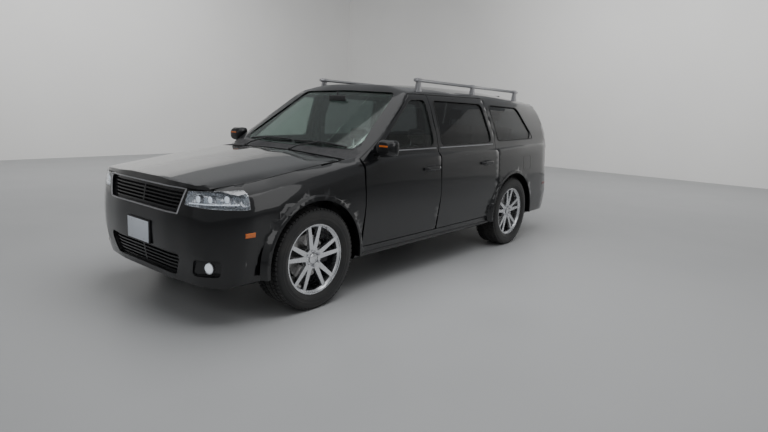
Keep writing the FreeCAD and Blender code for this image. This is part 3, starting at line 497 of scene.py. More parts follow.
screen_glass = clear("screen_glass", (0.62, 0.80, 0.72))
side_glass = clear("side_glass", (0.40, 0.44, 0.43))
privacy_glass = clear("privacy_glass", (0.13, 0.14, 0.145))
lamp_lens = clear("lamp_lens", (0.96, 0.98, 1.0), 0.01, 1.2)
red_lens, tree, shader = finish("red_lens", (0.30, 0.006, 0.008), 0.12, Coat_Weight=1.0, Coat_Roughness=0.03,
                                Transmission_Weight=0.35, IOR=1.45)
ribs = cells(tree, place_node(tree), 160.0)
bumped(tree, shader, ribs, 0.25, 0.001)
tinted(tree, shader, spread(tree, ribs, 0.0, 0.6, 0.0, 1.0), (0.34, 0.008, 0.01), (0.16, 0.003, 0.004))
amber_lens, tree, shader = finish("amber_lens", (0.75, 0.20, 0.01), 0.15, Coat_Weight=1.0, Coat_Roughness=0.03)
ribs = cells(tree, place_node(tree), 220.0)
bumped(tree, shader, ribs, 0.3, 0.001)
tinted(tree, shader, spread(tree, ribs, 0.0, 0.6, 0.0, 1.0), (0.85, 0.24, 0.012), (0.5, 0.1, 0.005))

tyre_rubber, tree, shader = finish("tyre_rubber", (0.012, 0.012, 0.0125), 0.72, Sheen_Weight=0.12)
place = place_node(tree)
grain = noise(tree, place, 180.0, 4.0)
scuff = spread(tree, noise(tree, place, 9.0), 0.45, 0.75, 0.0, 1.0)
bumped(tree, shader, grain, 0.3, 0.0004)
tinted(tree, shader, scuff, (0.011, 0.011, 0.0115), (0.03, 0.029, 0.027))
glossed(tree, shader, scuff, 0.0, 1.0, 0.66, 0.85)

seat_leather, tree, shader = finish("seat_leather", (0.022, 0.021, 0.020), 0.45, Sheen_Weight=0.1)
place = place_node(tree)
pores = cells(tree, place, 420.0)
crease = noise(tree, place, 28.0, 5.0, 0.6)
bumped(tree, shader, maths(tree, "ADD", pores, crease), 0.4, 0.0005)
tinted(tree, shader, spread(tree, crease, 0.4, 0.7, 0.0, 1.0), (0.020, 0.019, 0.018), (0.040, 0.038, 0.035))
glossed(tree, shader, crease, 0.35, 0.7, 0.4, 0.58)

carpet, tree, shader = finish("carpet", (0.02, 0.02, 0.021), 0.95, Sheen_Weight=0.4)
tufts = noise(tree, place_node(tree), 700.0, 2.0)
bumped(tree, shader, tufts, 0.8, 0.002)
tinted(tree, shader, tufts, (0.012, 0.012, 0.013), (0.035, 0.035, 0.036))

screen_black, tree, shader = finish("screen_black", (0.004, 0.005, 0.007), 0.08, Coat_Weight=0.5)
glossed(tree, shader, noise(tree, place_node(tree), 30.0), 0.3, 0.7, 0.05, 0.12)
print(len(bpy.data.materials), "finishes ready")

# %% [markdown]
# The room is a pale floor with two pale walls, behind the car and on its right. Soft lights hang overhead,
# on the left and in front, two more light the walls, and the sky is even. Black paint shows mostly what it
# mirrors, so the lights are broad, and the strong one overhead is kept out of the mirror images.

# %% Floor, wall and lights
floor_paint, tree, shader = finish("floor_paint", (0.30, 0.305, 0.31), 0.5)
place = place_node(tree)
cloud = noise(tree, place, 0.8, 4.0)
tinted(tree, shader, cloud, (0.28, 0.285, 0.29), (0.33, 0.335, 0.34))
glossed(tree, shader, cloud, 0.3, 0.7, 0.38, 0.5)
wall_paint, tree, shader = finish("wall_paint", (0.74, 0.735, 0.72), 0.8)
tinted(tree, shader, noise(tree, place_node(tree), 0.5), (0.70, 0.695, 0.68), (0.78, 0.775, 0.76))

ROOM = 10.9
ROOM_HEIGHT = 5.5
FAR = ROOM * 2
floor = mesh_piece("floor", [(-FAR, -FAR, 0), (FAR, -FAR, 0), (FAR, FAR, 0), (-FAR, FAR, 0)], [(0, 1, 2, 3)],
                   floor_paint)
wall_line = [(-ROOM, -FAR), (-ROOM, ROOM), (FAR, ROOM)]
wall = mesh_piece("wall", [(x, y, z) for x, y in wall_line for z in (0, ROOM_HEIGHT)],
                  [(0, 2, 3, 1), (2, 4, 5, 3)], wall_paint)
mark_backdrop(floor, wall)


LIGHTS = {  # name: place, aim, size, power, seen in mirror images
    "light_over": ((0.8, -0.5, 5.2), (0, 0, 0.8), (4.0, 6.0), 330, False),
    "light_veil": ((0.8, -0.5, 5.3), (0, 0, 0.8), (4.5, 7.0), 60, True),
    "light_left": ((7.0, 1.0, 4.6), (0.5, 0.0, 0.7), (3.0, 8.0), 90, True),
    "light_front": ((2.0, -8.0, 4.6), (0, -2, 0.7), (7.0, 3.0), 90, True),
    "light_wall_rear": ((1.0, 6.5, 5.3), (1.0, ROOM, 1.6), (9.0, 1.0), 330, True),
    "light_wall_side": ((-6.5, 1.0, 5.3), (-ROOM, 1.0, 1.6), (9.0, 1.0), 330, True),
}
for name, (place, aim, size, power, glossy) in LIGHTS.items():
    data = bpy.data.lights.new(name, "AREA")
    data.shape = "RECTANGLE"
    data.size, data.size_y = size
    data.energy = power
    lamp = link(name, data)
    lamp.location = place
    lamp.rotation_euler = (Vector(aim) - Vector(place)).to_track_quat("-Z", "Y").to_euler()
    lamp.visible_glossy = glossy
world = bpy.data.worlds.new("sky")
world.use_nodes = True
world.node_tree.nodes["Background"].inputs["Color"].default_value = (0.86, 0.88, 0.9, 1)
world.node_tree.nodes["Background"].inputs["Strength"].default_value = 0.32
bpy.context.scene.world = world
print("studio ready")

# %% [markdown]
# The skin is lofted through straight-sided sections, so its facets would break up every reflection. The car
# is therefore scanned from five sides on a two centimetre grid, the normals of that scan are evened out
# without crossing real edges, and each panel reads its shading normals from the scan. No point is moved.

# %% Even shading normals for the painted skin
SCAN_STEP = 0.02
SCAN_ROUNDS = 24
LONGEST_EDGE = 0.070
SPLIT_ROUNDS = 5
NOTHING = 99.0  # depth where a ray met no skin
SAME_SURFACE = 0.035  # largest depth step between neighbours on one surface
SCAN_REACH = 0.030  # how far a corner may lie from the scan that it reads
ALIKE_FROM, ALIKE_SPAN = 0.80, 0.16  # cosine where two normals begin to even out, and the span to full share
SCANNED = ["body_side_left", "body_side_right", "roof_panel", "fender_left", "fender_right", "front_bumper",
           "rear_bumper", "hood", "door_front_left", "door_front_right", "door_rear_left", "door_rear_right",
           "liftgate", "cowl_panel", "windshield", "quarter_windows", "liftgate_glass", "glass_front_left",
           "glass_front_right", "glass_rear_left", "glass_rear_right", "headlamps", "tail_lamps"]


def one_tree(nodes):
    """One ray-casting tree of many CAD nodes."""
    verts, faces = [], []
    for node in nodes:
        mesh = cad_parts[node].data
        offset = len(verts)
        verts += [v.co.copy() for v in mesh.vertices]
        faces += [[offset + i for i in p.vertices] for p in mesh.polygons]
    return BVHTree.FromPolygons(verts, faces)


def scan(tree, direction, span_a, span_b, axes):
    """Depth and evened normals of the skin over a grid, seen along one direction."""
    heading = Vector(direction)
    count_a = int((span_a[1] - span_a[0]) / SCAN_STEP) + 1
    count_b = int((span_b[1] - span_b[0]) / SCAN_STEP) + 1
    depth = np.full((count_a, count_b), NOTHING)
    normals = np.zeros((count_a, count_b, 3))
    along = [i for i in range(3) if i not in axes][0]
    for i in range(count_a):
        for k in range(count_b):
            start = [0.0, 0.0, 0.0]
            start[axes[0]] = span_a[0] + SCAN_STEP * i
            start[axes[1]] = span_b[0] + SCAN_STEP * k
            start[along] = -4.0 * heading[along]
            place, normal, index, distance = tree.ray_cast(Vector(start), heading)
            if place is not None:
                if normal.dot(heading) > 0:
                    normal = -normal
                depth[i, k] = place[along]
                normals[i, k] = normal
    known = depth < NOTHING / 2
    for turn in range(SCAN_ROUNDS):
        total = normals.copy()
        for shift_a, shift_b in ((1, 0), (-1, 0), (0, 1), (0, -1)):
            other = np.roll(normals, (shift_a, shift_b), (0, 1))
            other_depth = np.roll(depth, (shift_a, shift_b), (0, 1))
            near = np.abs(other_depth - depth) < SAME_SURFACE
            alike = np.clip((np.sum(other * normals, axis=2) - ALIKE_FROM) / ALIKE_SPAN, 0.0, 1.0)
            total += other * (alike * near)[..., None]
        length = np.linalg.norm(total, axis=2)
        length[length == 0] = 1.0
        normals = np.where(known[..., None], total / length[..., None], 0.0)
    return {"axes": axes, "along": along, "low": (span_a[0], span_b[0]), "depth": depth, "normals": normals,
            "view": -np.array(direction, dtype=float)}


ACROSS, ALONG, UPWARDS = (-1.04, 1.04), (-2.60, 2.60), (0.20, 1.84)  # room that is scanned
skin_tree = one_tree(SCANNED)
SCANS = [
    scan(skin_tree, (-1, 0, 0), ALONG, UPWARDS, (1, 2)),
    scan(skin_tree, (1, 0, 0), ALONG, UPWARDS, (1, 2)),
    scan(skin_tree, (0, 0, -1), ACROSS, ALONG, (0, 1)),
    scan(skin_tree, (0, 1, 0), ACROSS, UPWARDS, (0, 2)),
    scan(skin_tree, (0, -1, 0), ACROSS, UPWARDS, (0, 2)),
]


def look_up(table, places):
    """Evened normals at places, read between the four nearest grid points, and the share that is covered."""
    a = (places[:, table["axes"][0]] - table["low"][0]) / SCAN_STEP
    b = (places[:, table["axes"][1]] - table["low"][1]) / SCAN_STEP
    shape = table["depth"].shape
    i = np.clip(np.floor(a).astype(int), 0, shape[0] - 2)
    k = np.clip(np.floor(b).astype(int), 0, shape[1] - 2)
    u = np.clip(a - i, 0, 1)
    v = np.clip(b - k, 0, 1)
    normal = np.zeros((len(places), 3))
    weight = np.zeros(len(places))
    for di, dk, share in ((0, 0, (1 - u) * (1 - v)), (1, 0, u * (1 - v)), (0, 1, (1 - u) * v), (1, 1, u * v)):
        near = np.abs(table["depth"][i + di, k + dk] - places[:, table["along"]]) < SCAN_REACH
        normal += table["normals"][i + di, k + dk] * (share * near)[:, None]
        weight += share * near
    return normal, weight


def split_long(mesh):
    """Halve long edges, in a few rounds, so that the shading can follow the scan."""
    with editing(mesh) as form:
        for turn in range(SPLIT_ROUNDS):
            bmesh.ops.triangulate(form, faces=[f for f in form.faces if len(f.verts) > 3])
            long_edges = [e for e in form.edges if e.calc_length() > LONGEST_EDGE]
            if not long_edges:
                break
            bmesh.ops.subdivide_edges(form, edges=long_edges, cuts=1)
        bmesh.ops.triangulate(form, faces=[f for f in form.faces if len(f.verts) > 3])


def even_normals(mesh, limit=34.0):
    """Replace shading normals that lie near the scan's by the scan's; limit is in degrees."""
    split_long(mesh)
    count = len(mesh.loops)
    corner = np.zeros(count * 3)
    mesh.corner_normals.foreach_get("vector", corner)
    corner = corner.reshape(-1, 3)
    which = np.zeros(count, dtype=int)
    mesh.loops.foreach_get("vertex_index", which)
    places = np.zeros(len(mesh.vertices) * 3)
    mesh.vertices.foreach_get("co", places)
    places = places.reshape(-1, 3)[which]
    total = np.zeros((count, 3))
    for table in SCANS:
        normal, weight = look_up(table, places)
        facing = np.clip(corner @ table["view"], 0, 1) ** 4
        total += normal * (facing * (weight > 0.2))[:, None]
    length = np.linalg.norm(total, axis=1)
    good = length > 0.02
    length[~good] = 1.0
    total /= length[:, None]
    close = np.sum(total * corner, axis=1) > math.cos(math.radians(limit))
    fresh = np.where((good & close)[:, None], total, corner)
    mesh.normals_split_custom_set([tuple(n) for n in fresh])
    return int((good & close).sum()), count


# %% [markdown]
# The painted panels keep the CAD form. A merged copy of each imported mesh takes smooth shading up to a
# crease limit and a fine rounded edge, which is what catches the light along every panel gap. Its long
# edges are halved first, so that the shading can follow the scan.

# %% Painted panels
SHADE_ANGLE = 34.0
PANEL_EDGE = 0.0022
MERGE = 0.00004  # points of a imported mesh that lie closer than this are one


def panel(node, body, material, edge=PANEL_EDGE, angle=SHADE_ANGLE):
    """Merged copy of a CAD node with soft shading and rounded edges."""
    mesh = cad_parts[node].data.copy()
    mesh.name = node + "_skin"
    for layer in ("custom_normal", "sharp_edge", "sharp_face"):
        if layer in mesh.attributes:
            mesh.attributes.remove(mesh.attributes[layer])
    with editing(mesh) as form:
        bmesh.ops.remove_doubles(form, verts=form.verts, dist=MERGE)
        bmesh.ops.dissolve_degenerate(form, dist=MERGE / 2, edges=form.edges)
        bmesh.ops.dissolve_limit(form, angle_limit=math.radians(0.6), verts=form.verts, edges=form.edges)
        bmesh.ops.triangulate(form, faces=[f for f in form.faces if len(f.verts) > 4])
    piece = link(mesh.name, mesh)
    mesh.materials.clear()
    mesh.materials.append(material)
    beveled(piece, edge, 2, angle)
    return mounted(piece, body, [node])


PAINTED = {node: "body" for node in ("body_side_left", "body_side_right", "roof_panel", "fender_left",
                                      "fender_right", "front_bumper", "rear_bumper")}
PAINTED.update({node: node for node in ("hood", "door_front_left", "door_front_right", "door_rear_left",
                                        "door_rear_right", "liftgate")})
PAINTED.update({"mirror_" + side: "door_front_" + side for side in SIDES})
for node, body in PAINTED.items():
    skin = panel(node, body, paint)
    if not node.startswith("mirror"):
        evened, corners_in_all = even_normals(skin.data)
        print(node, "triangles", len(skin.data.polygons), "evened", round(evened / corners_in_all, 2))
panel("cowl_panel", "body", textured_black)
panel("roof_rails", "body", satin_metal, 0.003)
print(len(PAINTED), "painted panels")

# %% [markdown]
# Glass and the parts under the car keep the CAD mesh as it is and only take a finish.

# %% Finishes of the CAD nodes that keep their own mesh
KEPT = {
    "windshield": screen_glass, "quarter_windows": privacy_glass, "liftgate_glass": privacy_glass,
    "glass_front_left": side_glass, "glass_front_right": side_glass, "glass_rear_left": privacy_glass,
    "glass_rear_right": privacy_glass, "floor_pan": underbody_coat, "engine_block": cast_metal,
    "fuel_tank": textured_black, "exhaust": exhaust_steel, "front_suspension": chassis_iron,
    "rear_suspension": chassis_iron, "knuckle_left": chassis_iron, "knuckle_right": chassis_iron,
}
for node, material in KEPT.items():
    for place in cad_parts[node].material_slots:
        place.link = "OBJECT"
        place.material = material
print(len(KEPT), "CAD nodes refinished")

# %% [markdown]
# Tyres. Each is turned from a section that bulges at the sidewall, carries raised rings like a real
# moulding, and ends in a round shoulder. The tread blocks are laid by Geometry Nodes: one block of each
# row is copied round the wheel, so the block size and count stay two named numbers.

# %% Tyres with tread blocks
TREAD_DEPTH = 0.008
TREAD_COUNT = 66
CUT_HALF = 0.0009  # half the width of the thin cut across a block
TREAD_ROWS = [  # across from the middle, width, length, slant, turn offset
    (-0.100, 0.036, 0.0265, 0.10, 0.0),
    (-0.056, 0.034, 0.0280, -0.22, 0.4),
    (0.000, 0.050, 0.0300, 0.0, 0.1),
    (0.056, 0.034, 0.0280, 0.22, 0.6),
    (0.100, 0.036, 0.0265, -0.10, 0.5),
]


def ring_tree(name, count, radius, centre, material):
    """Copies of the input mesh, set round an axis along X at one radius."""
    tree = bpy.data.node_groups.new(name, "GeometryNodeTree")
    sockets = {}
    tree.interface.new_socket("Geometry", in_out="INPUT", socket_type="NodeSocketGeometry")
    for label, kind, value in (("Count", "NodeSocketInt", count), ("Radius", "NodeSocketFloat", radius),
                               ("Offset", "NodeSocketFloat", 0.0)):
        socket = tree.interface.new_socket(label, in_out="INPUT", socket_type=kind)
        socket.default_value = value
        sockets[label] = socket.identifier
    tree.interface.new_socket("Geometry", in_out="OUTPUT", socket_type="NodeSocketGeometry")
    entry = tree.nodes.new("NodeGroupInput")
    leave = tree.nodes.new("NodeGroupOutput")
    points = tree.nodes.new("GeometryNodePoints")
    index = tree.nodes.new("GeometryNodeInputIndex")
    tree.links.new(entry.outputs["Count"], points.inputs["Count"])
    place = maths(tree, "ADD", index.outputs[0], entry.outputs["Offset"])
    turn = maths(tree, "MULTIPLY", maths(tree, "DIVIDE", place, entry.outputs["Count"]), 2 * math.pi)
    spot = tree.nodes.new("ShaderNodeCombineXYZ")
    for axis, operation in (("Y", "SINE"), ("Z", "COSINE")):
        reach = maths(tree, "MULTIPLY", maths(tree, operation, turn), entry.outputs["Radius"])
        tree.links.new(reach, spot.inputs[axis])
    spin = tree.nodes.new("ShaderNodeCombineXYZ")
    tree.links.new(maths(tree, "MULTIPLY", turn, -1.0), spin.inputs["X"])
    placed = tree.nodes.new("GeometryNodeSetPosition")
    tree.links.new(points.outputs[0], placed.inputs["Geometry"])
    tree.links.new(spot.outputs[0], placed.inputs["Position"])
    copies = tree.nodes.new("GeometryNodeInstanceOnPoints")
    tree.links.new(placed.outputs[0], copies.inputs["Points"])
    tree.links.new(entry.outputs["Geometry"], copies.inputs["Instance"])
    tree.links.new(spin.outputs[0], copies.inputs["Rotation"])
    moved = tree.nodes.new("GeometryNodeTransform")
    moved.inputs["Translation"].default_value = centre
    real = tree.nodes.new("GeometryNodeRealizeInstances")
    coat = tree.nodes.new("GeometryNodeSetMaterial")
    coat.inputs["Material"].default_value = material
    tree.links.new(copies.outputs[0], real.inputs[0])
    tree.links.new(real.outputs[0], moved.inputs["Geometry"])
    tree.links.new(moved.outputs[0], coat.inputs["Geometry"])
    tree.links.new(coat.outputs[0], leave.inputs[0])
    return tree, sockets


def ringed(piece, count, radius, centre, material, offset=0.0):
    """Run the ring tree over a piece that lies at the origin and keep the result as plain mesh."""
    tree, sockets = ring_tree(piece.name + "_ring", count, radius, centre, material)
    ring = piece.modifiers.new("ring", "NODES")
    ring.node_group = tree
    for label, value in (("Count", count), ("Radius", radius), ("Offset", offset)):
        ring[sockets[label]] = value
    finish_modifiers(piece)
    bpy.data.node_groups.remove(tree)
    return piece


def tread_block(name, across, width, length, slant):
    """One raised block with sloped walls and a thin cut across its top, standing on radius zero."""
    verts, faces = [], []
    for y0, y1 in ((-length / 2, -CUT_HALF), (CUT_HALF, length / 2)):
        a = len(verts)
        for z, shrink in ((-0.004, 0.0), (TREAD_DEPTH, 0.0012)):
            for y in (y0, y1):
                for x in (-width / 2, width / 2):
                    inward = shrink * (1 if x < 0 else -1)
                    pull = shrink * (1 if y == y0 else -1)
                    verts.append((across + x + inward + slant * (y + pull), y + pull * 0.5, z))
        faces += [(a, a + 1, a + 3, a + 2), (a + 4, a + 6, a + 7, a + 5), (a, a + 4, a + 5, a + 1),
                  (a + 2, a + 3, a + 7, a + 6), (a, a + 2, a + 6, a + 4), (a + 1, a + 5, a + 7, a + 3)]
    return mesh_piece(name, verts, faces)


def wheel_centre(row, side):
    """Middle of one wheel."""
    return Vector((SIDES[side] * TRACK, AXLE[row], WHEEL_Z))


def tyre(row, side):
    """Carcass and tread of one wheel as one piece."""
    sign = SIDES[side]
    centre = wheel_centre(row, side)
    crown = TYRE_RADIUS - TREAD_DEPTH
    half = [(0.0, crown), (0.060, crown - 0.0008), (0.100, crown - 0.003), (0.118, crown - 0.008),
            (0.1265, crown - 0.018), (0.1300, crown - 0.030), (0.1318, crown - 0.046), (0.1330, crown - 0.047),
            (0.1330, crown - 0.051), (0.1320, crown - 0.052), (0.1322, crown - 0.070), (0.1332, crown - 0.071),
            (0.1332, crown - 0.0735), (0.1318, crown - 0.0745), (0.1285, crown - 0.088), (0.1235, crown - 0.098),
            (0.1190, crown - 0.104), (0.1180, crown - 0.109), (0.1120, RIM_RADIUS + 0.001)]
    inner = [(0.098, RIM_RADIUS - 0.002), (0.098, RIM_RADIUS + 0.012), (0.118, RIM_RADIUS + 0.05),
             (0.105, crown - 0.022), (0.0, crown - 0.016)]
    outline = half + inner
    profile = outline + [(-a, r) for a, r in reversed(outline[1:-1])]
    carcass = turned("carcass", [(a * sign, r) for a, r in profile], centre, "x", 144, tyre_rubber, 30)
    rings = []
    for index, (across, width, length, slant, offset) in enumerate(TREAD_ROWS):
        piece = tread_block("tread_%d" % index, across * sign, width, length, slant)
        drop = 0.0025 if abs(across) > 0.09 else 0.0002
        rings.append(ringed(piece, TREAD_COUNT, crown - drop, centre, tyre_rubber, offset))
    whole = joined("tyre_%s_%s_dressed" % (row, side), [carcass] + rings)
    return mounted(whole, "wheel_%s_%s" % (row, side), ["tyre_%s_%s" % (row, side)])


for row, side in CORNERS:
    tyre(row, side)
print("tyres:", len(CORNERS), "with", TREAD_COUNT * len(TREAD_ROWS), "tread blocks each")

# %% [markdown]
# Wheels. The rim keeps the CAD spokes, with rounded edges on a merged copy. Lug nuts, a cap without any
# mark and a valve stem are added, and behind them a vented disc with its fins. The springs come last.

# %% Rims, nuts, caps, discs and springs
LUG_COUNT = 6
LUG_CIRCLE = 0.055
VANE_COUNT = 36
COIL_STEPS = 24  # points on one turn of a spring


def lug_nut(name, sign):
    """A six-sided nut with a domed end, lying along X."""
    profile = [(0.0, 0.0), (0.0, 0.0125), (0.004, 0.0105), (0.018, 0.0105), (0.023, 0.0075), (0.0245, 0.0)]
    return turned(name, [(sign * a, r) for a, r in profile], (0, 0, 0), "x", 6, satin_metal, 20, closed=False)


def wheel_trim(row, side):
    """Rim, small parts and brake disc of one wheel; every profile is given for the left side."""
    sign = SIDES[side]
    body = "wheel_%s_%s" % (row, side)
    centre = wheel_centre(row, side)

    def part(name, profile, steps, material, closed=True):
        return turned(name, [(sign * a, r) for a, r in profile], centre, "x", steps, material, 30, closed)

    panel("rim_%s_%s" % (row, side), body, bright_silver, 0.003, 30)
    nuts = ringed(lug_nut("nut", sign), LUG_COUNT, LUG_CIRCLE, centre + Vector((sign * 0.0795, 0, 0)), satin_metal)
    cap = part("cap", [(0.070, 0.0), (0.070, 0.040), (0.0865, 0.040), (0.0885, 0.037), (0.0895, 0.0)], 48,
               bright_silver, False)
    ring = part("cap_ring", [(0.083, 0.0395), (0.083, 0.0425), (0.0875, 0.0425), (0.0875, 0.0395)], 48, dark_metal)
    lip = part("rim_lip", [(0.106, 0.2565), (0.1135, 0.2575), (0.1145, 0.2660), (0.1115, 0.2740), (0.1060, 0.2735)],
               96, bright_silver)
    valve = tube("valve", [centre + Vector((sign * 0.085, 0.232 * math.sin(0.6), 0.232 * math.cos(0.6))),
                           centre + Vector((sign * 0.112, 0.220 * math.sin(0.6), 0.220 * math.cos(0.6)))],
                 0.004, textured_black, 8)
    detail = joined("wheel_detail_%s_%s" % (row, side), [nuts, cap, ring, lip, valve])
    mounted(detail, body)

    front, back = (0.002, -0.020)
    plates = []
    for name, low, high in (("disc_outer", front - 0.008, front), ("disc_inner", back, back + 0.007)):
        plates.append(part(name, [(low, 0.078), (high, 0.078), (high, 0.171), (low, 0.171)], 96, disc_steel))
    vane_low, vane_high = sorted((sign * (back + 0.004), sign * (front - 0.004)))
    vane = block("vane", (vane_low, -0.0022, -0.045), (vane_high, 0.0022, 0.045), disc_steel)
    plates.append(ringed(vane, VANE_COUNT, 0.125, centre, disc_steel))
    hat = part("disc_hat", [(0.000, 0.023), (0.000, 0.079), (0.046, 0.079), (0.0500, 0.075), (0.0500, 0.023)], 64,
               dark_metal)
    disc = joined("disc_%s_%s_dressed" % (row, side), plates + [hat])
    mounted(disc, body, ["disc_%s_%s" % (row, side)])


for row, side in CORNERS:
    wheel_trim(row, side)


def coil(name, x, y, low, high, radius, wire, turns, material):
    """A spring: a round wire wound evenly, with its ends drawn in flat."""
    points = []
    steps = turns * COIL_STEPS
    for k in range(steps + 1):
        turn = 2 * math.pi * k / COIL_STEPS
        rise = min(1.0, max(0.0, (k - COIL_STEPS / 2) / (steps - COIL_STEPS)))
        points.append((x + radius * math.cos(turn), y + radius * math.sin(turn), low + (high - low) * rise))
    return tube(name, points, wire, material, 8)


for side, sign in SIDES.items():
    spring = coil("spring_front_%s" % side, sign * 0.580, AXLE["front"], 0.36, 0.60, 0.066, 0.007, 7, dark_metal)
    mounted(spring, "body")
    spring = coil("spring_rear_%s" % side, sign * 0.560, AXLE["rear"], 0.335, 0.54, 0.060, 0.007, 6, dark_metal)
    mounted(spring, "body")
print("wheel trim on", len(CORNERS), "wheels and springs at every corner")

# %% [markdown]
# The grille sits in its bright frame. Its bars stay the CAD bars; behind them a fine net of six-sided cells
# makes the openings look dark and deep, as in the photograph. The lower intake gets the same.

# %% Grille mesh, frame and intake
NOSE_Y = -2.45  # used where a ray passes between the bars


def front_touch(nodes, x, z):
    """Where the skin is at this x and z, seen from the front."""
    return touch(nodes, (x, -3.2, z), (0, 1, 0))


def mesh_screen(name, outline, depth, pitch, wire):
    """A net of six-sided cells inside a convex outline, bent to a curve that lies behind the bars."""
    verts, faces = [], []

    def inside(x, z):
        for (x0, z0), (x1, z1) in zip(outline, outline[1:] + outline[:1]):
            if (x1 - x0) * (z - z0) - (z1 - z0) * (x - x0) < 0:
                return False
        return True

    def bar(ax, az, bx, bz):
        length = math.hypot(bx - ax, bz - az)
        nx, nz = -(bz - az) / length * wire, (bx - ax) / length * wire
        base = len(verts)
        for x, z in ((ax, az), (bx, bz)):
            y = depth(x, z)
            for side, back in ((1, 0), (-1, 0), (-1, 0.006), (1, 0.006)):
                verts.append((x + side * nx, y + back, z + side * nz))
        for k in range(4):
            faces.append((base + k, base + (k + 1) % 4, base + 4 + (k + 1) % 4, base + 4 + k))

    low = min(z for x, z in outline)
    high = max(z for x, z in outline)
    wide = max(x for x, z in outline)
    rows = int((high - low) / (pitch * 1.5)) + 2
    columns = int(2 * wide / (pitch * math.sqrt(3))) + 3
    for r in range(-1, rows):
        for c in range(-columns // 2, columns // 2 + 1):
            x = (c + 0.5 * (r % 2)) * pitch * math.sqrt(3)
            z = low + r * pitch * 1.5
            corners = [(x + pitch * math.sin(math.radians(60 * k)), z + pitch * math.cos(math.radians(60 * k)))
                       for k in range(4)]
            for (ax, az), (bx, bz) in zip(corners, corners[1:]):
                if inside(ax, az) and inside(bx, bz):
                    bar(ax, az, bx, bz)
    return mesh_piece(name, verts, faces, textured_black)


def depth_behind(nodes, back):
    """Depth of a net: a set distance behind the foremost skin that is found at this x."""
    cache = {}

    def depth(x, z):
        key = round(abs(x), 2)
        if key not in cache:
            spots = [front_touch(nodes, key, level) for level in (z, z + 0.01, z - 0.01)]
            spots = [spot[0].y for spot in spots if spot is not None]
            cache[key] = min(spots) if spots else NOSE_Y
        return cache[key] + back
    return depth


panel("grille", "body", gloss_black, 0.0012, 30)
upper_net = mesh_screen("grille_net", [(-0.445, 0.79), (0.445, 0.79), (0.497, 0.92), (-0.497, 0.92)],
                        depth_behind(["grille"], 0.034), 0.013, 0.0011)
lower_net = mesh_screen("intake_net", [(-0.405, 0.35), (0.405, 0.35), (0.470, 0.485), (-0.470, 0.485)],
                        depth_behind(["grille"], 0.034), 0.015, 0.0012)
mounted(joined("grille_nets", [upper_net, lower_net]), "body")


def bright_line(name, places, nodes, radius, material, lift=0.0, cyclic=False):
    """A thin round strip that lies on the skin along places given as x and z."""
    points = []
    for x, z in places:
        spot = front_touch(nodes, x, z)
        if spot is not None:
            points.append(spot[0] + spot[1] * lift)
    return tube(name, points, radius, material, 8, cyclic=cyclic)


frame_line = []
corners = [(-0.478, 0.772), (0.478, 0.772), (0.540, 0.941), (-0.540, 0.941)]
for (ax, az), (bx, bz) in zip(corners, corners[1:] + corners[:1]):
    for k in range(24):
        share = k / 24
        frame_line.append((ax + (bx - ax) * share, az + (bz - az) * share))
grille_frame = bright_line("grille_frame", frame_line, ["front_bumper", "hood", "headlamps"], 0.006, satin_metal,
                           -0.001, True)
mounted(grille_frame, "body")
print("grille frame and nets placed")

# %% [markdown]
# Lamps. Each lamp solid is split into what it really is: a clear outer lens a few millimetres thick, a
# bright reflector bowl behind it, and light units between them. The lens is the outer skin of the CAD
# lamp, so it stays flush with the fender and the hood.

# %% Headlamps, fog lamps, tail lamps, side markers
LENS_WALL = 0.003
HOUSING_WALL = 0.0015


def lamp_split(node, facing, name, lens_material, back_material):
    """Outer faces of a lamp solid become a thin lens; all its other faces become the housing."""
    pieces = []
    for keep_outer in (True, False):
        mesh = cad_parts[node].data.copy()
        with editing(mesh) as form:
            bmesh.ops.remove_doubles(form, verts=form.verts, dist=MERGE)
            form.normal_update()
            drop = [f for f in form.faces if is_outer(f.calc_center_median(), f.normal, facing) != keep_outer]
            bmesh.ops.delete(form, geom=drop, context="FACES")
        mesh.materials.clear()
        mesh.materials.append(lens_material if keep_outer else back_material)
        piece = link(name + ("_lens" if keep_outer else "_housing"), mesh)
        walled(piece, LENS_WALL if keep_outer else HOUSING_WALL)
        shaded(piece.data, 30)
        pieces.append(piece)
    return pieces


def is_outer(centre, normal, facing):
    """Whether a face of a lamp shows; facing is -1 for a front lamp and 1 for a rear one."""
    return abs(normal.z) < 0.75 and (normal.y * facing > 0.2 or normal.x * centre.x > 0.45 * abs(centre.x))


def lamp_unit(name, place, aim, radius, depth):
    """A projector: a bright ring with a clear ball lens in it, turned towards aim."""
    ring = turned(name + "_ring", [(0.0, radius * 0.86), (0.0, radius), (-depth, radius * 0.9),
                                   (-depth, radius * 0.80)], (0, 0, 0), "x", 48, satin_metal, 30)
    ball = [(radius * 0.30 * math.cos(a), radius * 0.85 * math.sin(a))
            for a in [math.radians(v) for v in range(0, 91, 15)]]
    lens = turned(name + "_ball", [(a - 0.002, r) for a, r in ball] + [(-depth, radius * 0.82), (-depth, 0.0)],
                  (0, 0, 0), "x", 48, lamp_glow, 50, closed=False)
    unit = joined(name, [ring, lens])
    turn = Vector(aim).normalized().to_track_quat("X", "Z").to_matrix().to_4x4()
    unit.data.transform(Matrix.Translation(Vector(place)) @ turn)
    return unit


lamp_glow, tree, shader = finish("lamp_glow", (0.80, 0.86, 0.95), 0.08, 0.0, Coat_Weight=1.0, IOR=1.5,
                                 Emission_Color=(0.85, 0.93, 1.0, 1), Emission_Strength=0.35)
tinted(tree, shader, noise(tree, place_node(tree), 90.0), (0.72, 0.80, 0.9), (0.9, 0.94, 1.0))
reflector, tree, shader = finish("reflector", (0.62, 0.63, 0.65), 0.22, 0.9)
flutes = cells(tree, place_node(tree), 70.0)
bumped(tree, shader, flutes, 0.35, 0.004)
glossed(tree, shader, flutes, 0.0, 0.6, 0.14, 0.3)

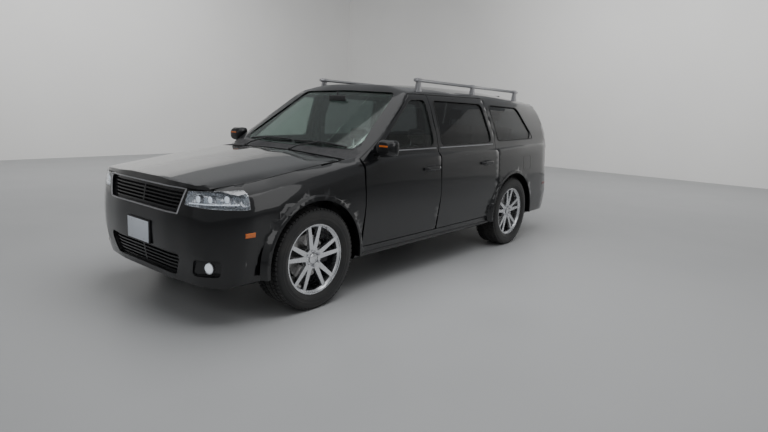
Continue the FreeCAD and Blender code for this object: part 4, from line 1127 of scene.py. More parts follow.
lens, housing = lamp_split("headlamps", -1, "headlamp", lamp_lens, reflector)
mounted(housing, "body")
mounted(lens, "body", ["headlamps"])
units = []
for sign in SIDES.values():
    for x, z in ((0.645, 0.884), (0.735, 0.888), (0.820, 0.893)):
        spot = front_touch(["headlamps"], sign * x, z)
        aim = Vector((spot[1].x * 0.35, -1, 0))
        units.append(lamp_unit("projector", spot[0] + Vector((0, 0.016, 0)), aim, 0.027, 0.03))
    strip = []
    for k in range(15):
        spot = front_touch(["headlamps"], sign * (0.580 + 0.30 * k / 14), 0.853 + 0.008 * k / 14)
        if spot is not None:
            strip.append(spot[0] + Vector((0, 0.010, 0)))
    units.append(tube("light_guide", strip, 0.0045, lamp_glow, 8))
mounted(joined("headlamp_units", units), "body")

fog_parts = []
for sign in SIDES.values():
    spot = front_touch(["fog_lamps"], sign * 0.715, 0.425)
    fog_parts.append(lamp_unit("fog", spot[0] + Vector((0, -0.004, 0)), (spot[1].x * 0.5, -1, 0), 0.042, 0.03))
panel("fog_lamps", "body", gloss_black, 0.002)
mounted(joined("fog_units", fog_parts), "body")

lens, housing = lamp_split("tail_lamps", 1, "tail_lamp", red_lens, reflector)
mounted(housing, "body")
mounted(lens, "body", ["tail_lamps"])


def skin_pad(name, nodes, corners, ray, lift, depth, material, rows=8, columns=16):
    """A thin pad that lies on the skin: corners and ray give its outline in the plane across the ray."""
    heading = Vector(ray).normalized()
    verts, missed = [], []
    for r in range(rows + 1):
        for c in range(columns + 1):
            low = corners[0].lerp(corners[1], c / columns)
            flat = low.lerp(corners[3].lerp(corners[2], c / columns), r / rows)
            spot = touch(nodes, flat - heading * 1.5, heading)
            if spot is None:
                missed.append(len(verts))
            verts.append(flat if spot is None else spot[0] - heading * lift)
    known = [p for k, p in enumerate(verts) if k not in missed]
    for k in missed:  # a ray that missed takes the depth of the nearest one that met skin
        flat = verts[k]
        near = min(known, key=lambda q: ((q - flat) - heading * (q - flat).dot(heading)).length)
        verts[k] = flat + heading * (near - flat).dot(heading)
    faces = [(a, a + 1, a + columns + 2, a + columns + 1) for r in range(rows)
             for a in range(r * (columns + 1), r * (columns + 1) + columns)]
    piece = mesh_piece(name, verts, faces, material)
    if sum(f.normal.dot(heading) for f in piece.data.polygons) > 0:
        piece.data.flip_normals()
    walled(piece, depth)
    beveled(piece, min(0.0015, depth * 0.35), 2, 50)
    return piece


def side_corners(sign, y0, y1, z0, z1):
    """Corners of an upright rectangle along the side of the car."""
    return [Vector((sign * 0.9, y, z)) for y, z in ((y0, z0), (y1, z0), (y1, z1), (y0, z1))]


def end_corners(x0, x1, y, z0, z1):
    """Corners of an upright rectangle across the car."""
    return [Vector((x, y, z)) for x, z in ((x0, z0), (x1, z0), (x1, z1), (x0, z1))]


for side, sign in SIDES.items():
    for name, nodes, y0, y1, material in (
            ("side_marker_", ["front_bumper", "fender_" + side], -2.255, -2.180, amber_lens),
            ("rear_marker_", ["rear_bumper"], 2.20, 2.28, red_lens)):
        marker = skin_pad(name + side, nodes, side_corners(sign, y0, y1, 0.640, 0.672), (-sign, 0, 0), 0.003,
                          0.006, material)
        mounted(marker, "body")
print("lamps placed:", len(units), "headlamp units")

# %% [markdown]
# Plates are blank pads in a dark frame, front and rear, as every road car carries them. They are flat and
# stand a few millimetres off the bumper and the gate on their holders.

# %% Blank plates


def plate(name, place, normal, body):
    """A flat plate with rounded corners in a frame, facing along normal."""
    half, high = 0.1525, 0.0765  # half its width and half its height
    parts = [block("plate", (-half, -0.0022, -high), (half, 0.0012, high), plate_white, 0.001),
             block("holder", (-half - 0.008, 0.0012, -high - 0.008), (half + 0.008, 0.014, high + 0.008),
                   textured_black, 0.003)]
    for x in (-0.089, 0.089):
        for z in (-0.058, 0.058):
            parts.append(turned("screw", [(-0.0035, 0.0), (-0.0035, 0.0035), (-0.0022, 0.005), (0.0, 0.005)],
                                (x, 0, z), "y", 16, satin_metal, 30, closed=False))
    whole = joined(name, parts)
    turn = Vector(normal).normalized().to_track_quat("-Y", "Z").to_matrix().to_4x4()
    whole.data.transform(Matrix.Translation(Vector(place)) @ turn)
    return mounted(whole, body)


spot = front_touch(["front_bumper"], 0.0, 0.590)
plate("front_plate", spot[0] + Vector((0, -0.014, 0)), (0, -1, 0.02), "body")
spot = touch(["liftgate"], (0, 3.2, 0.90), (0, -1, 0))
plate("rear_plate", spot[0] + Vector((0, 0.014, 0)), (0, 1, 0.10), "liftgate")

# %% [markdown]
# Door handles, window seals and belt lines. All of them are laid on the skin with the ray helper, so they
# follow the panels if the sections in the source change.

# %% Door handles and side trim
WINDOWS = {  # corners of each window in the side view, as y and z
    "front": [(-0.925, 1.178), (-0.358, 1.588), (-0.132, 1.594), (-0.132, 1.184)],
    "rear": [(0.000, 1.186), (0.000, 1.594), (0.868, 1.582), (0.936, 1.196)],
    "quarter": [(1.082, 1.204), (1.035, 1.576), (1.700, 1.560), (1.950, 1.214)],
}


def rounded_line(corners, radius, step=0.02):
    """Points along a closed outline whose corners are rounded."""
    points = []
    count = len(corners)
    for i in range(count):
        before, here, after = (Vector((*corners[(i + k) % count], 0)) for k in (-1, 0, 1))
        inward = (before - here).normalized()
        onward = (after - here).normalized()
        start, end = here + inward * radius, here + onward * radius
        for k in range(7):
            t = k / 6
            points.append(start * (1 - t) ** 2 + here * 2 * t * (1 - t) + end * t * t)
        far = after - onward * radius
        steps = max(2, int((far - end).length / step))
        points += [end.lerp(far, k / steps) for k in range(1, steps)]
    return [(p.x, p.y) for p in points]


def skin_line(nodes, places, sign, lift=0.0):
    """Points on the side of the car at places given as y and z, where there is skin."""
    spots = [side_touch(nodes, y, z, sign) for y, z in places]
    return [spot[0] + spot[1] * lift for spot in spots if spot is not None]


def handle(row, side):
    """A bowed bar over a dark cup; a front door has a lock as well."""
    sign = SIDES[side]
    node = "door_%s_%s" % (row, side)
    rear = -0.115 if row == "front" else 0.880
    z = 0.985
    length, thick = 0.235, 0.0065
    rings = []
    for k in range(25):
        bow = math.sin(math.pi * k / 24)
        spot = side_touch([node], rear - length + length * k / 24, z + 0.004 * bow, sign)
        p = spot[0] + Vector((sign * (0.030 * min(1.0, bow * 2.2) ** 0.8 + 0.003), 0, 0))
        half = 0.0135 + 0.003 * bow
        rings.append([(p.x + sign * thick * math.cos(a), p.y, p.z + half * math.sin(a))
                      for a in [2 * math.pi * m / 16 for m in range(16)]])
    bar = lofted("handle_bar", rings, paint, 40)
    cup = skin_pad("handle_cup", [node], side_corners(sign, rear - 0.185, rear - 0.055, z - 0.030, z + 0.030),
                   (-sign, 0, 0), 0.0012, 0.003, textured_black, 10, 14)
    parts = [bar, cup]
    if row == "front":
        spot = side_touch([node], rear + 0.022, z, sign)
        parts.append(turned("lock", [(0.0, 0.0), (sign * 0.004, 0.0), (sign * 0.004, 0.008), (0.0, 0.010)],
                            (spot[0].x, spot[0].y, z), "x", 24, satin_metal, 30, closed=False))
    return mounted(joined("handle_%s_%s" % (row, side), parts), node)


for row, side in CORNERS:
    handle(row, side)

for side, sign in SIDES.items():
    for key, corners in WINDOWS.items():
        body = "body" if key == "quarter" else "door_%s_%s" % (key, side)
        node = "body_side_" + side if key == "quarter" else "door_%s_%s" % (key, side)
        middle_y, middle_z = sum(y for y, z in corners) / 4, 1.4
        grown = [(y + math.copysign(0.004, y - middle_y), z + math.copysign(0.004, z - middle_z))
                 for y, z in corners]
        line = skin_line([node], rounded_line(grown, 0.05), sign, 0.0006)
        seal = tube("seal_%s_%s" % (key, side), line, 0.0042, rubber_seal, 8, cyclic=True)
        mounted(seal, body)
    for key, low, high in (("front", -0.900, -0.105), ("rear", -0.035, 0.955)):
        node = "door_%s_%s" % (key, side)
        along = [low + (high - low) * k / 32 for k in range(33)]
        line = skin_line([node], [(y, 1.158 + 0.012 * (y + 0.9) / 1.9) for y in along], sign, 0.001)
        mounted(tube("belt_%s_%s" % (key, side), line, 0.0055, satin_metal, 8), node)
print("handles, window seals and belt lines placed")

# %% [markdown]
# Small outer parts: mirror glass and its lamp, wipers, aerial fin, line of the fuel flap, reflectors, tail
# pipe tips, the high lamp, the bar of the gate and the line along the sills.

# %% Mirror glass, wipers, aerial fin, flap, reflectors, tail pipes


def wiper(name, nodes, pivot, heel, tip, ray, body, arm_lift=0.020):
    """An arm from its pivot to the middle of a blade; the blade lies on the glass from heel to tip."""
    heading = Vector(ray).normalized()

    def on_glass(place, lift):
        spot = touch(nodes, Vector(place) - heading * 1.0, heading)
        return None if spot is None else spot[0] + spot[1] * lift

    blade = [on_glass(Vector(heel).lerp(Vector(tip), k / 16), 0.006) for k in range(17)]
    blade = [p for p in blade if p is not None]
    parts = [tube(name + "_rubber", blade, 0.0035, rubber_seal, 8)]
    spine = []
    for k, p in enumerate(blade):
        t = k / (len(blade) - 1)
        spine.append(p + (-heading) * (0.006 + 0.008 * math.sin(math.pi * t)))
    parts.append(tube(name + "_spine", spine, 0.0045, textured_black, 8))
    middle = spine[len(spine) // 2]
    start = Vector(pivot)
    knee = start.lerp(middle, 0.25) - heading * arm_lift
    parts.append(tube(name + "_arm", [start - heading * 0.008, knee, middle - heading * 0.004], 0.006,
                      textured_black, 12))
    boss = turned(name + "_boss", [(0.0, 0.0), (0.0, 0.016), (0.014, 0.014), (0.018, 0.009), (0.018, 0.0)],
                  (0, 0, 0), "z", 32, textured_black, 30, closed=False)
    turn = (-heading).to_track_quat("Z", "Y").to_matrix().to_4x4()
    boss.data.transform(Matrix.Translation(start - heading * 0.002) @ turn)
    parts.append(boss)
    return mounted(joined(name, parts), body)


SLOPE = Vector((0, 0.62, -0.78))
for name, x0, x1, x2 in (("wiper_left", 0.16, 0.70, 0.03), ("wiper_right", -0.48, -0.02, -0.62)):
    spot = touch(["cowl_panel", "hood", "windshield"], Vector((x0, -1.245, 1.14)) - SLOPE, SLOPE)
    wiper(name, ["windshield", "cowl_panel"], spot[0], (x2, -1.10, 1.215), (x1, -1.07, 1.195), SLOPE, "body")
spot = touch(["liftgate"], (0.0, 3.2, 1.165), (0, -1, 0))
wiper("wiper_rear", ["liftgate_glass", "liftgate"], spot[0], (0.06, 2.44, 1.215), (-0.34, 2.44, 1.225), (0, -1, 0),
      "liftgate", 0.014)

for side, sign in SIDES.items():
    outline = rounded_line([(0.938, 1.134), (1.068, 1.150), (1.068, 1.242), (0.938, 1.242)], 0.024, 0.03)
    glass = lofted("mirror_glass_" + side, [[(sign * x, y, z) for x, z in outline] for y in (-0.8985, -0.8960)],
                   mirror_silver, 30)
    mounted(glass, "door_front_" + side)
    blink = skin_pad("mirror_lamp_" + side, ["mirror_" + side],
                     end_corners(sign * 0.965, sign * 1.052, -1.1, 1.205, 1.219), (0, 1, 0), 0.002, 0.005,
                     amber_lens, 4, 12)
    mounted(blink, "door_front_" + side)

FIN_SECTION = [(1, 0.0), (1, 0.35), (1, 0.7), (1, 0.93), (0, 1.0), (-1, 0.93), (-1, 0.7), (-1, 0.35), (-1, 0.0)]
fin_rows = []
for t in [k / 10 for k in range(11)]:
    y = 1.70 + 0.165 * t
    height = 0.052 * (t ** 0.75) * (1.0 if t < 0.92 else 0.86) + 0.002
    wide = 0.022 * math.sin(math.pi * min(1.0, 0.12 + t * 0.8)) + 0.004
    base = touch(["roof_panel"], (0, y, 2.4), (0, 0, -1))[0].z - 0.003
    fin_rows.append([(s * wide * (1 - u) ** 0.55, y, base + height * u) for s, u in FIN_SECTION])
mounted(lofted("aerial_fin", fin_rows, paint, 45), "body")

outline = rounded_line([(1.62, 0.86), (1.80, 0.86), (1.80, 1.02), (1.62, 1.02)], 0.03)
line = skin_line(["body_side_left"], outline, 1, -0.0005)
mounted(tube("fuel_flap_line", line, 0.0018, rubber_seal, 6, cyclic=True), "body")

for side, sign in SIDES.items():
    x0, x1 = sorted((sign * 0.56, sign * 0.74))
    reflex = skin_pad("reflector_" + side, ["rear_bumper"], end_corners(x0, x1, 2.4, 0.43, 0.463), (0, -1, 0),
                      0.003, 0.006, red_lens, 4, 16)
    mounted(reflex, "body")
    tip = turned("pipe_tip_" + side, [(2.400, 0.0300), (2.490, 0.0315), (2.4925, 0.0330), (2.490, 0.0350),
                                      (2.400, 0.0335)], (sign * 0.500, 0, 0.268), "y", 64, exhaust_steel, 30)
    mounted(tip, "body")

high_lamp = skin_pad("high_lamp", ["liftgate"], end_corners(-0.17, 0.17, 2.5, 1.652, 1.664), (0, -1, 0), 0.002,
                     0.005, red_lens, 3, 16)
mounted(high_lamp, "liftgate")
bar = skin_pad("gate_bar", ["liftgate"], end_corners(-0.42, 0.42, 2.6, 0.998, 1.026), (0, -1, 0), 0.012, 0.020,
               satin_metal, 4, 40)
mounted(bar, "liftgate")

for side, sign in SIDES.items():
    step = skin_line(["body_side_" + side], [(-1.10 + 2.05 * k / 40, 0.335) for k in range(41)], sign)
    mounted(tube("sill_line_" + side, step, 0.006, textured_black, 8), "body")
print("mirror glass, wipers, fin, flap, reflectors and tail pipes placed")

# %% [markdown]
# Seats are soft goods, so they are inflated as cloth. Each pad starts as a slightly small rounded block with
# raised bolsters, is remeshed evenly, blown up for twenty frames with gravity off, and its points may move
# only so far. Sewn channels are pressed in afterwards, because remeshing would erase them.

# %% Seat pads blown up as cloth
SHRINK = 0.011  # room that the pressure fills again, on each side
PRESSURE = 4.0
SEAM_DEPTH = 0.0075
SEAM_WIDTH = 0.0065


def ramp(value, low, high):
    """Rise from 0 at low to 1 at high, with soft ends."""
    t = max(0.0, min(1.0, (value - low) / (high - low)))
    return t * t * (3 - 2 * t)


def inflate(piece, cap):
    """Twenty frames of cloth under pressure; no point moves further than cap."""
    before = [v.co.copy() for v in piece.data.vertices]
    cloth = piece.modifiers.new("cloth", "CLOTH")
    settings = cloth.settings
    settings.quality = 4
    settings.mass = 0.3
    settings.tension_stiffness = 12
    settings.compression_stiffness = 12
    settings.shear_stiffness = 6
    settings.bending_stiffness = 0.4
    settings.use_pressure = True
    settings.uniform_pressure_force = PRESSURE
    settings.effector_weights.gravity = 0.0
    cloth.collision_settings.use_collision = False
    cloth.point_cache.frame_start = 1
    cloth.point_cache.frame_end = 20
    for step in range(1, 21):
        bpy.context.scene.frame_set(step)
    finish_modifiers(piece)
    bpy.context.scene.frame_set(1)
    for vert, start in zip(piece.data.vertices, before):
        move = vert.co - start
        if move.length > cap:
            vert.co = start + move * (cap / move.length)


def pad(name, size, seams_x, seams_y, bolster=0.0, voxel=0.010, refine=False, cap=0.014, crown=0.012):
    """A pad in its own frame: X across, Y along, Z out towards the person; size is width, length, height."""
    width, length, height = size
    m = SHRINK
    piece = block(name, (-width / 2 + m, m, m), (width / 2 - m, length - m, height - m), seat_leather,
                  min(0.040, height * 0.32), 4)
    remesh = piece.modifiers.new("even", "REMESH")
    remesh.mode = "VOXEL"
    remesh.voxel_size = voxel
    finish_modifiers(piece)
    for vert in piece.data.vertices:
        u = abs(vert.co.x) / (width / 2)
        v = vert.co.y / length
        top = ramp(vert.co.z / height, 0.35, 0.95)
        vert.co.z += top * (bolster * (ramp(u, 0.56, 0.80) - 1.0) * ramp(v, 0.04, 0.2)
                            - crown * (1 - math.sin(math.pi * max(0.0, min(1.0, v)))))
        pinch = 0.010 * ramp(abs(v - 0.5) * 2, 0.0, 1.0) * 0.5
        vert.co.x *= 1 - pinch
    inflate(piece, cap)
    if refine:
        smoother = piece.modifiers.new("finer", "SUBSURF")
        smoother.levels = smoother.render_levels = 1
        finish_modifiers(piece)
    piece.data.update()
    normals = [n.vector.copy() for n in piece.data.vertex_normals]
    for vert, normal in zip(piece.data.vertices, normals):
        if normal.z < 0.15:
            continue
        gap = 1.0
        u = abs(vert.co.x)
        inner = seams_x[0] if seams_x else width
        for line in seams_x:
            gap = min(gap, abs(u - line))
        if u < inner:
            for line in seams_y:
                gap = min(gap, abs(vert.co.y - line))
        vert.co -= normal * SEAM_DEPTH * math.exp(-(gap / SEAM_WIDTH) ** 2) * ramp(normal.z, 0.15, 0.5)
    piece.data.shade_smooth()
    return piece


def placed_pad(piece, matrix, name):
    """A copy of a pad, set into the car as a padded piece."""
    mesh = piece.data.copy()
    mesh.name = name
    mesh.transform(matrix)
    made = link(name, mesh)
    mounted(made, "body")


def upright(y, z, lean, x, offset=0.100):
    """Matrix that stands a pad up as a seat back: its Y runs up the back and its Z points forwards."""
    a = math.radians(lean)
    up_line = Vector((0, math.sin(a), math.cos(a)))
    front = Vector((0, -math.cos(a), math.sin(a)))
    across = up_line.cross(front)
    pivot = Vector((x, y, z)) - front * offset
    return Matrix.Translation(pivot) @ Matrix((across, up_line, front)).transposed().to_4x4()


SEATS = {  # row: CAD node, x range, front y, cushion z, lean of the back, height of the bolsters
    "front": ("seats_front", 0.180, 0.690, -0.420, 0.400, 14, 0.022),
    "second": ("seat_second_row", 0.060, 0.612, 0.500, 0.400, 16, 0.010),
    "third": ("seat_third_row", 0.020, 0.560, 1.330, 0.650, 12, 0.006),
}
for key, (node, x0, x1, y, z, lean, bolster) in SEATS.items():
    wide = x1 - x0
    first = key == "front"
    cushion = pad("cushion_" + key, (wide, 0.520, 0.150), [wide * 0.30], [0.16, 0.29, 0.42], bolster,
                  0.010 if first else 0.009, first)
    back = pad("back_" + key, (wide - 0.020, 0.620, 0.130), [wide * 0.28], [0.14, 0.27, 0.40, 0.52], bolster,
               0.010 if first else 0.009, first)
    rest = pad("rest_" + key, (0.240, 0.150, 0.100), [], [0.075], 0.0, 0.008, False, 0.008, 0.004)
    a = math.radians(lean)
    top_y = y + 0.500 + 0.640 * math.sin(a)
    top_z = z + 0.090 + 0.640 * math.cos(a)
    frames = []
    for side, sign in SIDES.items():
        middle = sign * (x0 + x1) / 2
        placed_pad(cushion, Matrix.Translation((middle, y, z)), "cushion_%s_%s" % (key, side))
        placed_pad(back, upright(y + 0.500, z + 0.100, lean, middle), "back_%s_%s" % (key, side))
        placed_pad(rest, upright(top_y + 0.070, top_z + 0.015, 4, middle, 0.0), "restraint_%s_%s" % (key, side))
        frames.append(block("base", (middle - wide / 2 + 0.06, y + 0.06, z - 0.06),
                            (middle + wide / 2 - 0.06, y + 0.44, z + 0.012), cabin_plastic, 0.008))
        shell = block("shell", (-wide / 2 + 0.02, 0.02, -0.004), (wide / 2 - 0.02, 0.59, 0.012), cabin_plastic,
                      0.006)
        shell.data.transform(upright(y + 0.500, z + 0.100, lean, middle))
        frames.append(shell)
        for post in (-0.06, 0.06):
            frames.append(tube("post", [(middle + post, top_y - 0.004, top_z - 0.06),
                                        (middle + post, top_y + 0.020, top_z + 0.05)], 0.0065, satin_metal, 12))
        if first:
            for rail_x in (-0.15, 0.15):
                frames.append(block("slide", (middle + rail_x - 0.018, y - 0.01, 0.342),
                                    (middle + rail_x + 0.018, y + 0.52, 0.365), dark_metal, 0.002))
            outer = middle + sign * (wide / 2 - 0.022)
            frames.append(block("side_cover", (outer - 0.018, y + 0.05, z - 0.055),
                                (outer + 0.018, y + 0.50, z + 0.045), cabin_plastic, 0.014, 3))
    for piece in (cushion, back, rest):
        bpy.data.objects.remove(piece)
    mounted(joined("seat_frames_" + key, frames), "body", [node])
print("seats made:", len(SEATS), "rows, pressure", PRESSURE)

# %% [markdown]
# The cabin. The dashboard keeps its CAD form, with rounded edges; a screen, dials, vents, a glove box line,
# pedals and a selector are added. The steering wheel is turned anew on the CAD wheel's axis.

# %% Dashboard, console, wheel, pedals
panel("dashboard", "body", cabin_plastic, 0.010, 25)
parts = [
    block("screen", (-0.125, -0.772, 0.860), (0.125, -0.748, 0.985), screen_black, 0.006, 3),
    block("screen_frame", (-0.135, -0.790, 0.850), (0.135, -0.757, 0.995), cabin_plastic, 0.008, 3),
    block("climate", (-0.120, -0.772, 0.828), (0.120, -0.750, 0.848), gloss_black, 0.003),
    block("glove_box", (-0.640, -0.771, 0.828), (-0.230, -0.757, 0.935), cabin_plastic, 0.007, 3),
    block("dial_hood", (0.235, -0.872, 0.965), (0.525, -0.770, 1.030), cabin_plastic, 0.018, 4),
    block("dial_face", (0.250, -0.771, 0.950), (0.510, -0.762, 1.018), screen_black, 0.004),
    block("selector_base", (-0.045, -0.640, 0.638), (0.045, -0.480, 0.652), gloss_black, 0.005),
    block("arm_rest", (-0.110, -0.300, 0.636), (0.110, 0.120, 0.690), seat_leather, 0.022, 4),
]
for x in (-0.55, -0.19, 0.19, 0.57):
    parts.append(block("vent_frame", (x - 0.045, -0.772, 0.905), (x + 0.045, -0.752, 0.962), gloss_black, 0.005))
    for k in range(4):
        z = 0.915 + 0.0115 * k
        parts.append(block("vent_blade", (x - 0.038, -0.756, z), (x + 0.038, -0.747, z + 0.0028), cabin_plastic))
for x in (0.315, 0.445):
    parts.append(turned("dial_ring", [(0.0, 0.029), (0.003, 0.030), (0.003, 0.032), (0.0, 0.032)],
                        (x, -0.762, 0.984), "y", 48, satin_metal, 30))
for x in (-0.085, 0.085):
    parts.append(turned("knob", [(0.0, 0.0), (0.0, 0.011), (0.014, 0.010), (0.016, 0.008), (0.016, 0.0)],
                        (x, -0.752, 0.838), "y", 32, satin_metal, 30, closed=False))
for x in (-0.055, 0.055):
    parts.append(turned("cup", [(0.0, 0.036), (0.003, 0.038), (0.003, 0.042), (-0.002, 0.042)],
                        (x, -0.400, 0.642), "z", 48, satin_metal, 30))
parts.append(tube("selector_rod", [(0, -0.560, 0.650), (0, -0.555, 0.735)], 0.007, satin_metal, 16))
parts.append(turned("selector_knob", [(0.0, 0.0), (0.002, 0.020), (0.030, 0.024), (0.050, 0.018), (0.056, 0.0)],
                    (0, -0.555, 0.730), "z", 32, seat_leather, 40, closed=False))
for x, wide in ((0.330, 0.045), (0.225, 0.028)):
    parts.append(block("pedal", (x - wide, -1.025, 0.430), (x + wide, -1.010, 0.520), textured_black, 0.004))
    parts.append(tube("pedal_arm", [(x, -1.020, 0.480), (x, -1.060, 0.640), (x, -1.060, 0.720)], 0.007,
                      dark_metal, 8))
mounted(joined("dashboard_fittings", parts), "body")

WHEEL_CENTRE = Vector((0.380, -0.612, 0.9676))
WHEEL_LINE = Vector((0, 0.964764, 0.263117))
GRIP_RADIUS, GRIP_THICK = 0.182, 0.0155
wheel_turn = WHEEL_LINE.to_track_quat("Z", "Y").to_matrix().to_4x4()
grip = turned("grip", [(GRIP_THICK * math.sin(a), GRIP_RADIUS + GRIP_THICK * math.cos(a))
                       for a in [2 * math.pi * k / 16 for k in range(16)]], (0, 0, 0), "z", 96, seat_leather, 60)
hub_pad = turned("hub_pad", [(-0.020, 0.0), (-0.020, 0.062), (0.012, 0.066), (0.024, 0.058), (0.029, 0.030),
                             (0.030, 0.0)], (0, 0, 0), "z", 48, cabin_plastic, 40, closed=False)
wheel_parts = [grip, hub_pad]
for turn_deg, wide in ((0, 0.030), (180, 0.030), (270, 0.024)):
    spoke = block("spoke", (0.050, -wide / 2, -0.010), (0.174, wide / 2, 0.006), satin_metal, 0.005, 3)
    spoke.data.transform(Matrix.Rotation(math.radians(turn_deg), 4, "Z"))
    wheel_parts.append(spoke)
for x in (-0.092, 0.092):
    wheel_parts.append(block("switch", (x - 0.018, -0.012, 0.006), (x + 0.018, 0.012, 0.011), gloss_black, 0.003))
steering = joined("steering_wheel_dressed", wheel_parts)
steering.data.transform(Matrix.Translation(WHEEL_CENTRE) @ wheel_turn)
mounted(steering, "steering_wheel", ["steering_wheel"])

# %% [markdown]
# Door cards, headliner, hood liner, gate card, carpets, belts, visors and the inner mirror close what an
# open door, the hood or the gate would show bare.

# %% Door cards, liners, carpets, belts and visors
CARD_LOW, CARD_HIGH = 0.470, 1.085
CARD_THICK = 0.010
for row, side in CORNERS:
    sign = SIDES[side]
    node = "door_%s_%s" % (row, side)
    y0, y1 = (-0.985, -0.145) if row == "front" else (0.075, 0.800)
    reach = []  # how far the inner face of the door lies from the middle of the car
    for r in range(13):
        for c in range(25):
            start = (sign * 0.5, y0 + (y1 - y0) * c / 24, CARD_LOW + (CARD_HIGH - CARD_LOW) * r / 12)
            spot = touch([node], start, (sign, 0, 0))
            reach.append(0.5 if spot is None else abs(spot[0].x))
    near = min(x for x in reach if x > 0.6)
    common = sorted(reach)[len(reach) // 2]
    card_x = sign * (min(near, common) - 0.002)
    face = card_x - sign * CARD_THICK
    low_x, high_x = sorted((card_x, face))
    parts = [block("card", (low_x, y0, CARD_LOW), (high_x, y1, CARD_HIGH), cabin_plastic, 0.004)]
    for name, a0, a1, z0, z1, out, material, edge in (
            ("arm", 0.30, 0.92, 0.770, 0.830, 0.024, seat_leather, 0.010),
            ("upper", 0.02, 0.98, 0.960, 1.070, 0.010, seat_leather, 0.006),
            ("pocket", 0.10, 0.85, 0.500, 0.640, 0.014, textured_black, 0.007),
            ("pull", 0.30, 0.44, 0.880, 0.915, 0.014, satin_metal, 0.005),
            ("switches", 0.40, 0.60, 0.829, 0.836, 0.020, gloss_black, 0.002)):
        low_x, high_x = sorted((face + sign * 0.004, face - sign * out))
        parts.append(block(name, (low_x, y0 + (y1 - y0) * a0, z0), (high_x, y0 + (y1 - y0) * a1, z1), material,
                           edge, 3))
    mounted(joined("door_card_%s_%s" % (row, side), parts), node)

headliner, tree, shader = finish("headliner", (0.36, 0.35, 0.33), 0.95, Sheen_Weight=0.2)
weave = noise(tree, place_node(tree), 900.0, 2.0)
bumped(tree, shader, weave, 0.3, 0.0005)
tinted(tree, shader, weave, (0.33, 0.32, 0.30), (0.40, 0.39, 0.37))
lining = skin_pad("headliner", ["roof_panel"],
                  [Vector((-0.60, -0.33, 1.5)), Vector((0.60, -0.33, 1.5)), Vector((0.60, 2.02, 1.5)),
                   Vector((-0.60, 2.02, 1.5))], (0, 0, 1), 0.004, 0.006, headliner, 30, 20)
mounted(lining, "body")
hood_pad = skin_pad("hood_liner", ["hood"],
                    [Vector((-0.56, -2.20, 0.8)), Vector((0.56, -2.20, 0.8)), Vector((0.60, -1.42, 0.8)),
                     Vector((-0.60, -1.42, 0.8))], (0, 0, 1), 0.003, 0.010, carpet, 14, 20)
mounted(hood_pad, "hood")
gate_card = skin_pad("gate_card", ["liftgate"],
                     [Vector((-0.52, 2.0, 0.840)), Vector((0.52, 2.0, 0.840)), Vector((0.50, 2.0, 1.110)),
                      Vector((-0.50, 2.0, 1.110))], (0, 1, 0), 0.003, 0.010, cabin_plastic, 12, 20)
mounted(gate_card, "liftgate")
mats = []
for x0, x1, y0, y1 in ((0.165, 0.700, -1.10, -0.46), (0.165, 0.700, -0.02, 0.47), (0.05, 0.610, 1.00, 1.13)):
    for sign in SIDES.values():
        low_x, high_x = sorted((sign * x0, sign * x1))
        mats.append(block("mat", (low_x, y0, 0.3405), (high_x, y1, 0.351), carpet, 0.003))
mats.append(block("cargo_mat", (-0.610, 1.96, 0.5905), (0.610, 2.33, 0.600), carpet, 0.003))
mounted(joined("carpets", mats), "body")

belts = []
for sign in SIDES.values():
    for x, y in ((0.190, -0.020), (0.101, 0.900)):
        belts.append(block("buckle", (sign * x - 0.012, y, 0.520), (sign * x + 0.012, y + 0.04, 0.600),
                           textured_black, 0.004))
for sign in SIDES.values():
    strap = []
    for t in [k / 12 for k in range(13)]:
        x, y, z = 0.728 - 0.022 * t, -0.015 - 0.02 * t, 0.50 + 0.78 * t
        strap.append([(sign * (x + dx), y + dy, z) for dx, dy in
                      ((0.0, -0.024), (0.0, 0.024), (-0.0014, 0.024), (-0.0014, -0.024))])
    belts.append(lofted("strap", strap, seat_leather))
for x0, x1 in ((0.17, 0.56), (-0.56, -0.17)):
    belts.append(block("visor", (x0, -0.400, 1.612), (x1, -0.250, 1.624), carpet, 0.005, 3))
belts.append(block("inner_mirror", (-0.110, -0.530, 1.560), (0.110, -0.512, 1.614), textured_black, 0.008, 3))
belts.append(block("inner_mirror_glass", (-0.104, -0.513, 1.565), (0.104, -0.5105, 1.609), mirror_silver))
belts.append(tube("mirror_stem", [(0, -0.524, 1.600), (0, -0.520, 1.655)], 0.007, textured_black, 12))
mounted(joined("belts_visors", belts), "body")
print("cabin fittings placed")

# %% [markdown]
# Under the hood. The engine stays the plain block of the CAD model, given a cover, a battery, reservoirs
# and an air box on top, so that the bay is not bare when the hood is up.

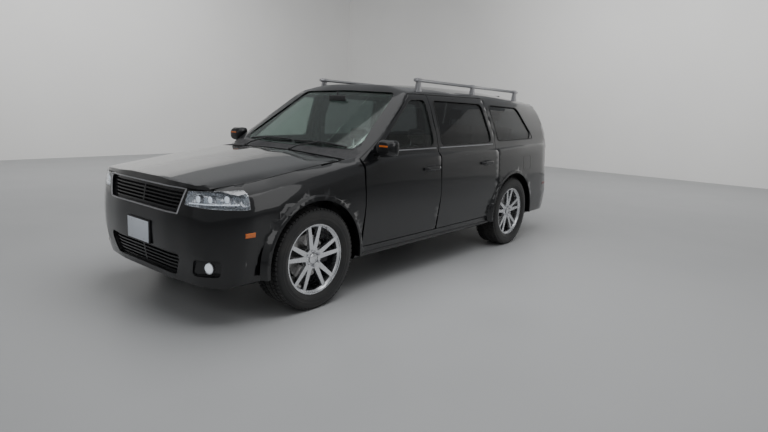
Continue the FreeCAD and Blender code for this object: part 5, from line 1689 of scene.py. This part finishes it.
# %% Engine cover, battery, reservoirs and hoses
bay = [
    block("cover", (-0.235, -2.12, 0.900), (0.235, -1.66, 0.932), textured_black, 0.016, 4),
    block("battery", (0.300, -1.66, 0.700), (0.470, -1.44, 0.880), textured_black, 0.006),
    block("battery_top", (0.300, -1.66, 0.880), (0.470, -1.44, 0.892), cabin_plastic, 0.004),
    block("air_box", (-0.520, -1.74, 0.660), (-0.300, -1.46, 0.880), textured_black, 0.018, 4),
    block("fuse_box", (0.330, -2.02, 0.720), (0.450, -1.80, 0.860), textured_black, 0.010, 3),
    block("tray_left", (0.268, -2.05, 0.690), (0.480, -1.42, 0.702), dark_metal, 0.003),
    block("tray_right", (-0.530, -1.80, 0.640), (-0.268, -1.42, 0.662), dark_metal, 0.003),
]
for k in range(6):
    x = -0.17 + 0.068 * k
    bay.append(block("cover_rib", (x - 0.007, -2.07, 0.930), (x + 0.007, -1.71, 0.938), textured_black, 0.003))
for x in (0.345, 0.425):
    bay.append(turned("terminal", [(0.0, 0.0), (0.0, 0.010), (0.016, 0.009), (0.016, 0.0)], (x, -1.47, 0.892), "z",
                      24, satin_metal, 30, closed=False))
for x, y in ((-0.36, -1.92), (0.36, -2.12)):
    bay.append(turned("reservoir", [(0.0, 0.0), (0.0, 0.055), (0.10, 0.055), (0.125, 0.030), (0.14, 0.030),
                                    (0.14, 0.0)], (x, y, 0.70), "z", 32, plate_white, 30, closed=False))
    bay.append(turned("cap", [(0.0, 0.0), (0.0, 0.034), (0.018, 0.034), (0.022, 0.028), (0.022, 0.0)],
                      (x, y, 0.84), "z", 24, textured_black, 30, closed=False))
bay.append(block("tray_front", (-0.42, -1.99, 0.690), (-0.268, -1.85, 0.702), dark_metal, 0.003))
bay.append(block("tray_front_left", (0.268, -2.18, 0.690), (0.42, -2.05, 0.702), dark_metal, 0.003))
for name, line, radius in (
        ("intake_hose", [(-0.30, -1.60, 0.84), (-0.20, -1.58, 0.88), (-0.12, -1.62, 0.90)], 0.036),
        ("coolant_hose", [(0.10, -2.22, 0.82), (0.12, -2.28, 0.80), (0.14, -2.33, 0.72)], 0.020)):
    bay.append(tube(name, line, radius, rubber_seal, 16))
mounted(joined("engine_bay", bay), "body")
print("engine bay dressed")

# %% Sizes: bounds of everything that is not backdrop
low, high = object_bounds()
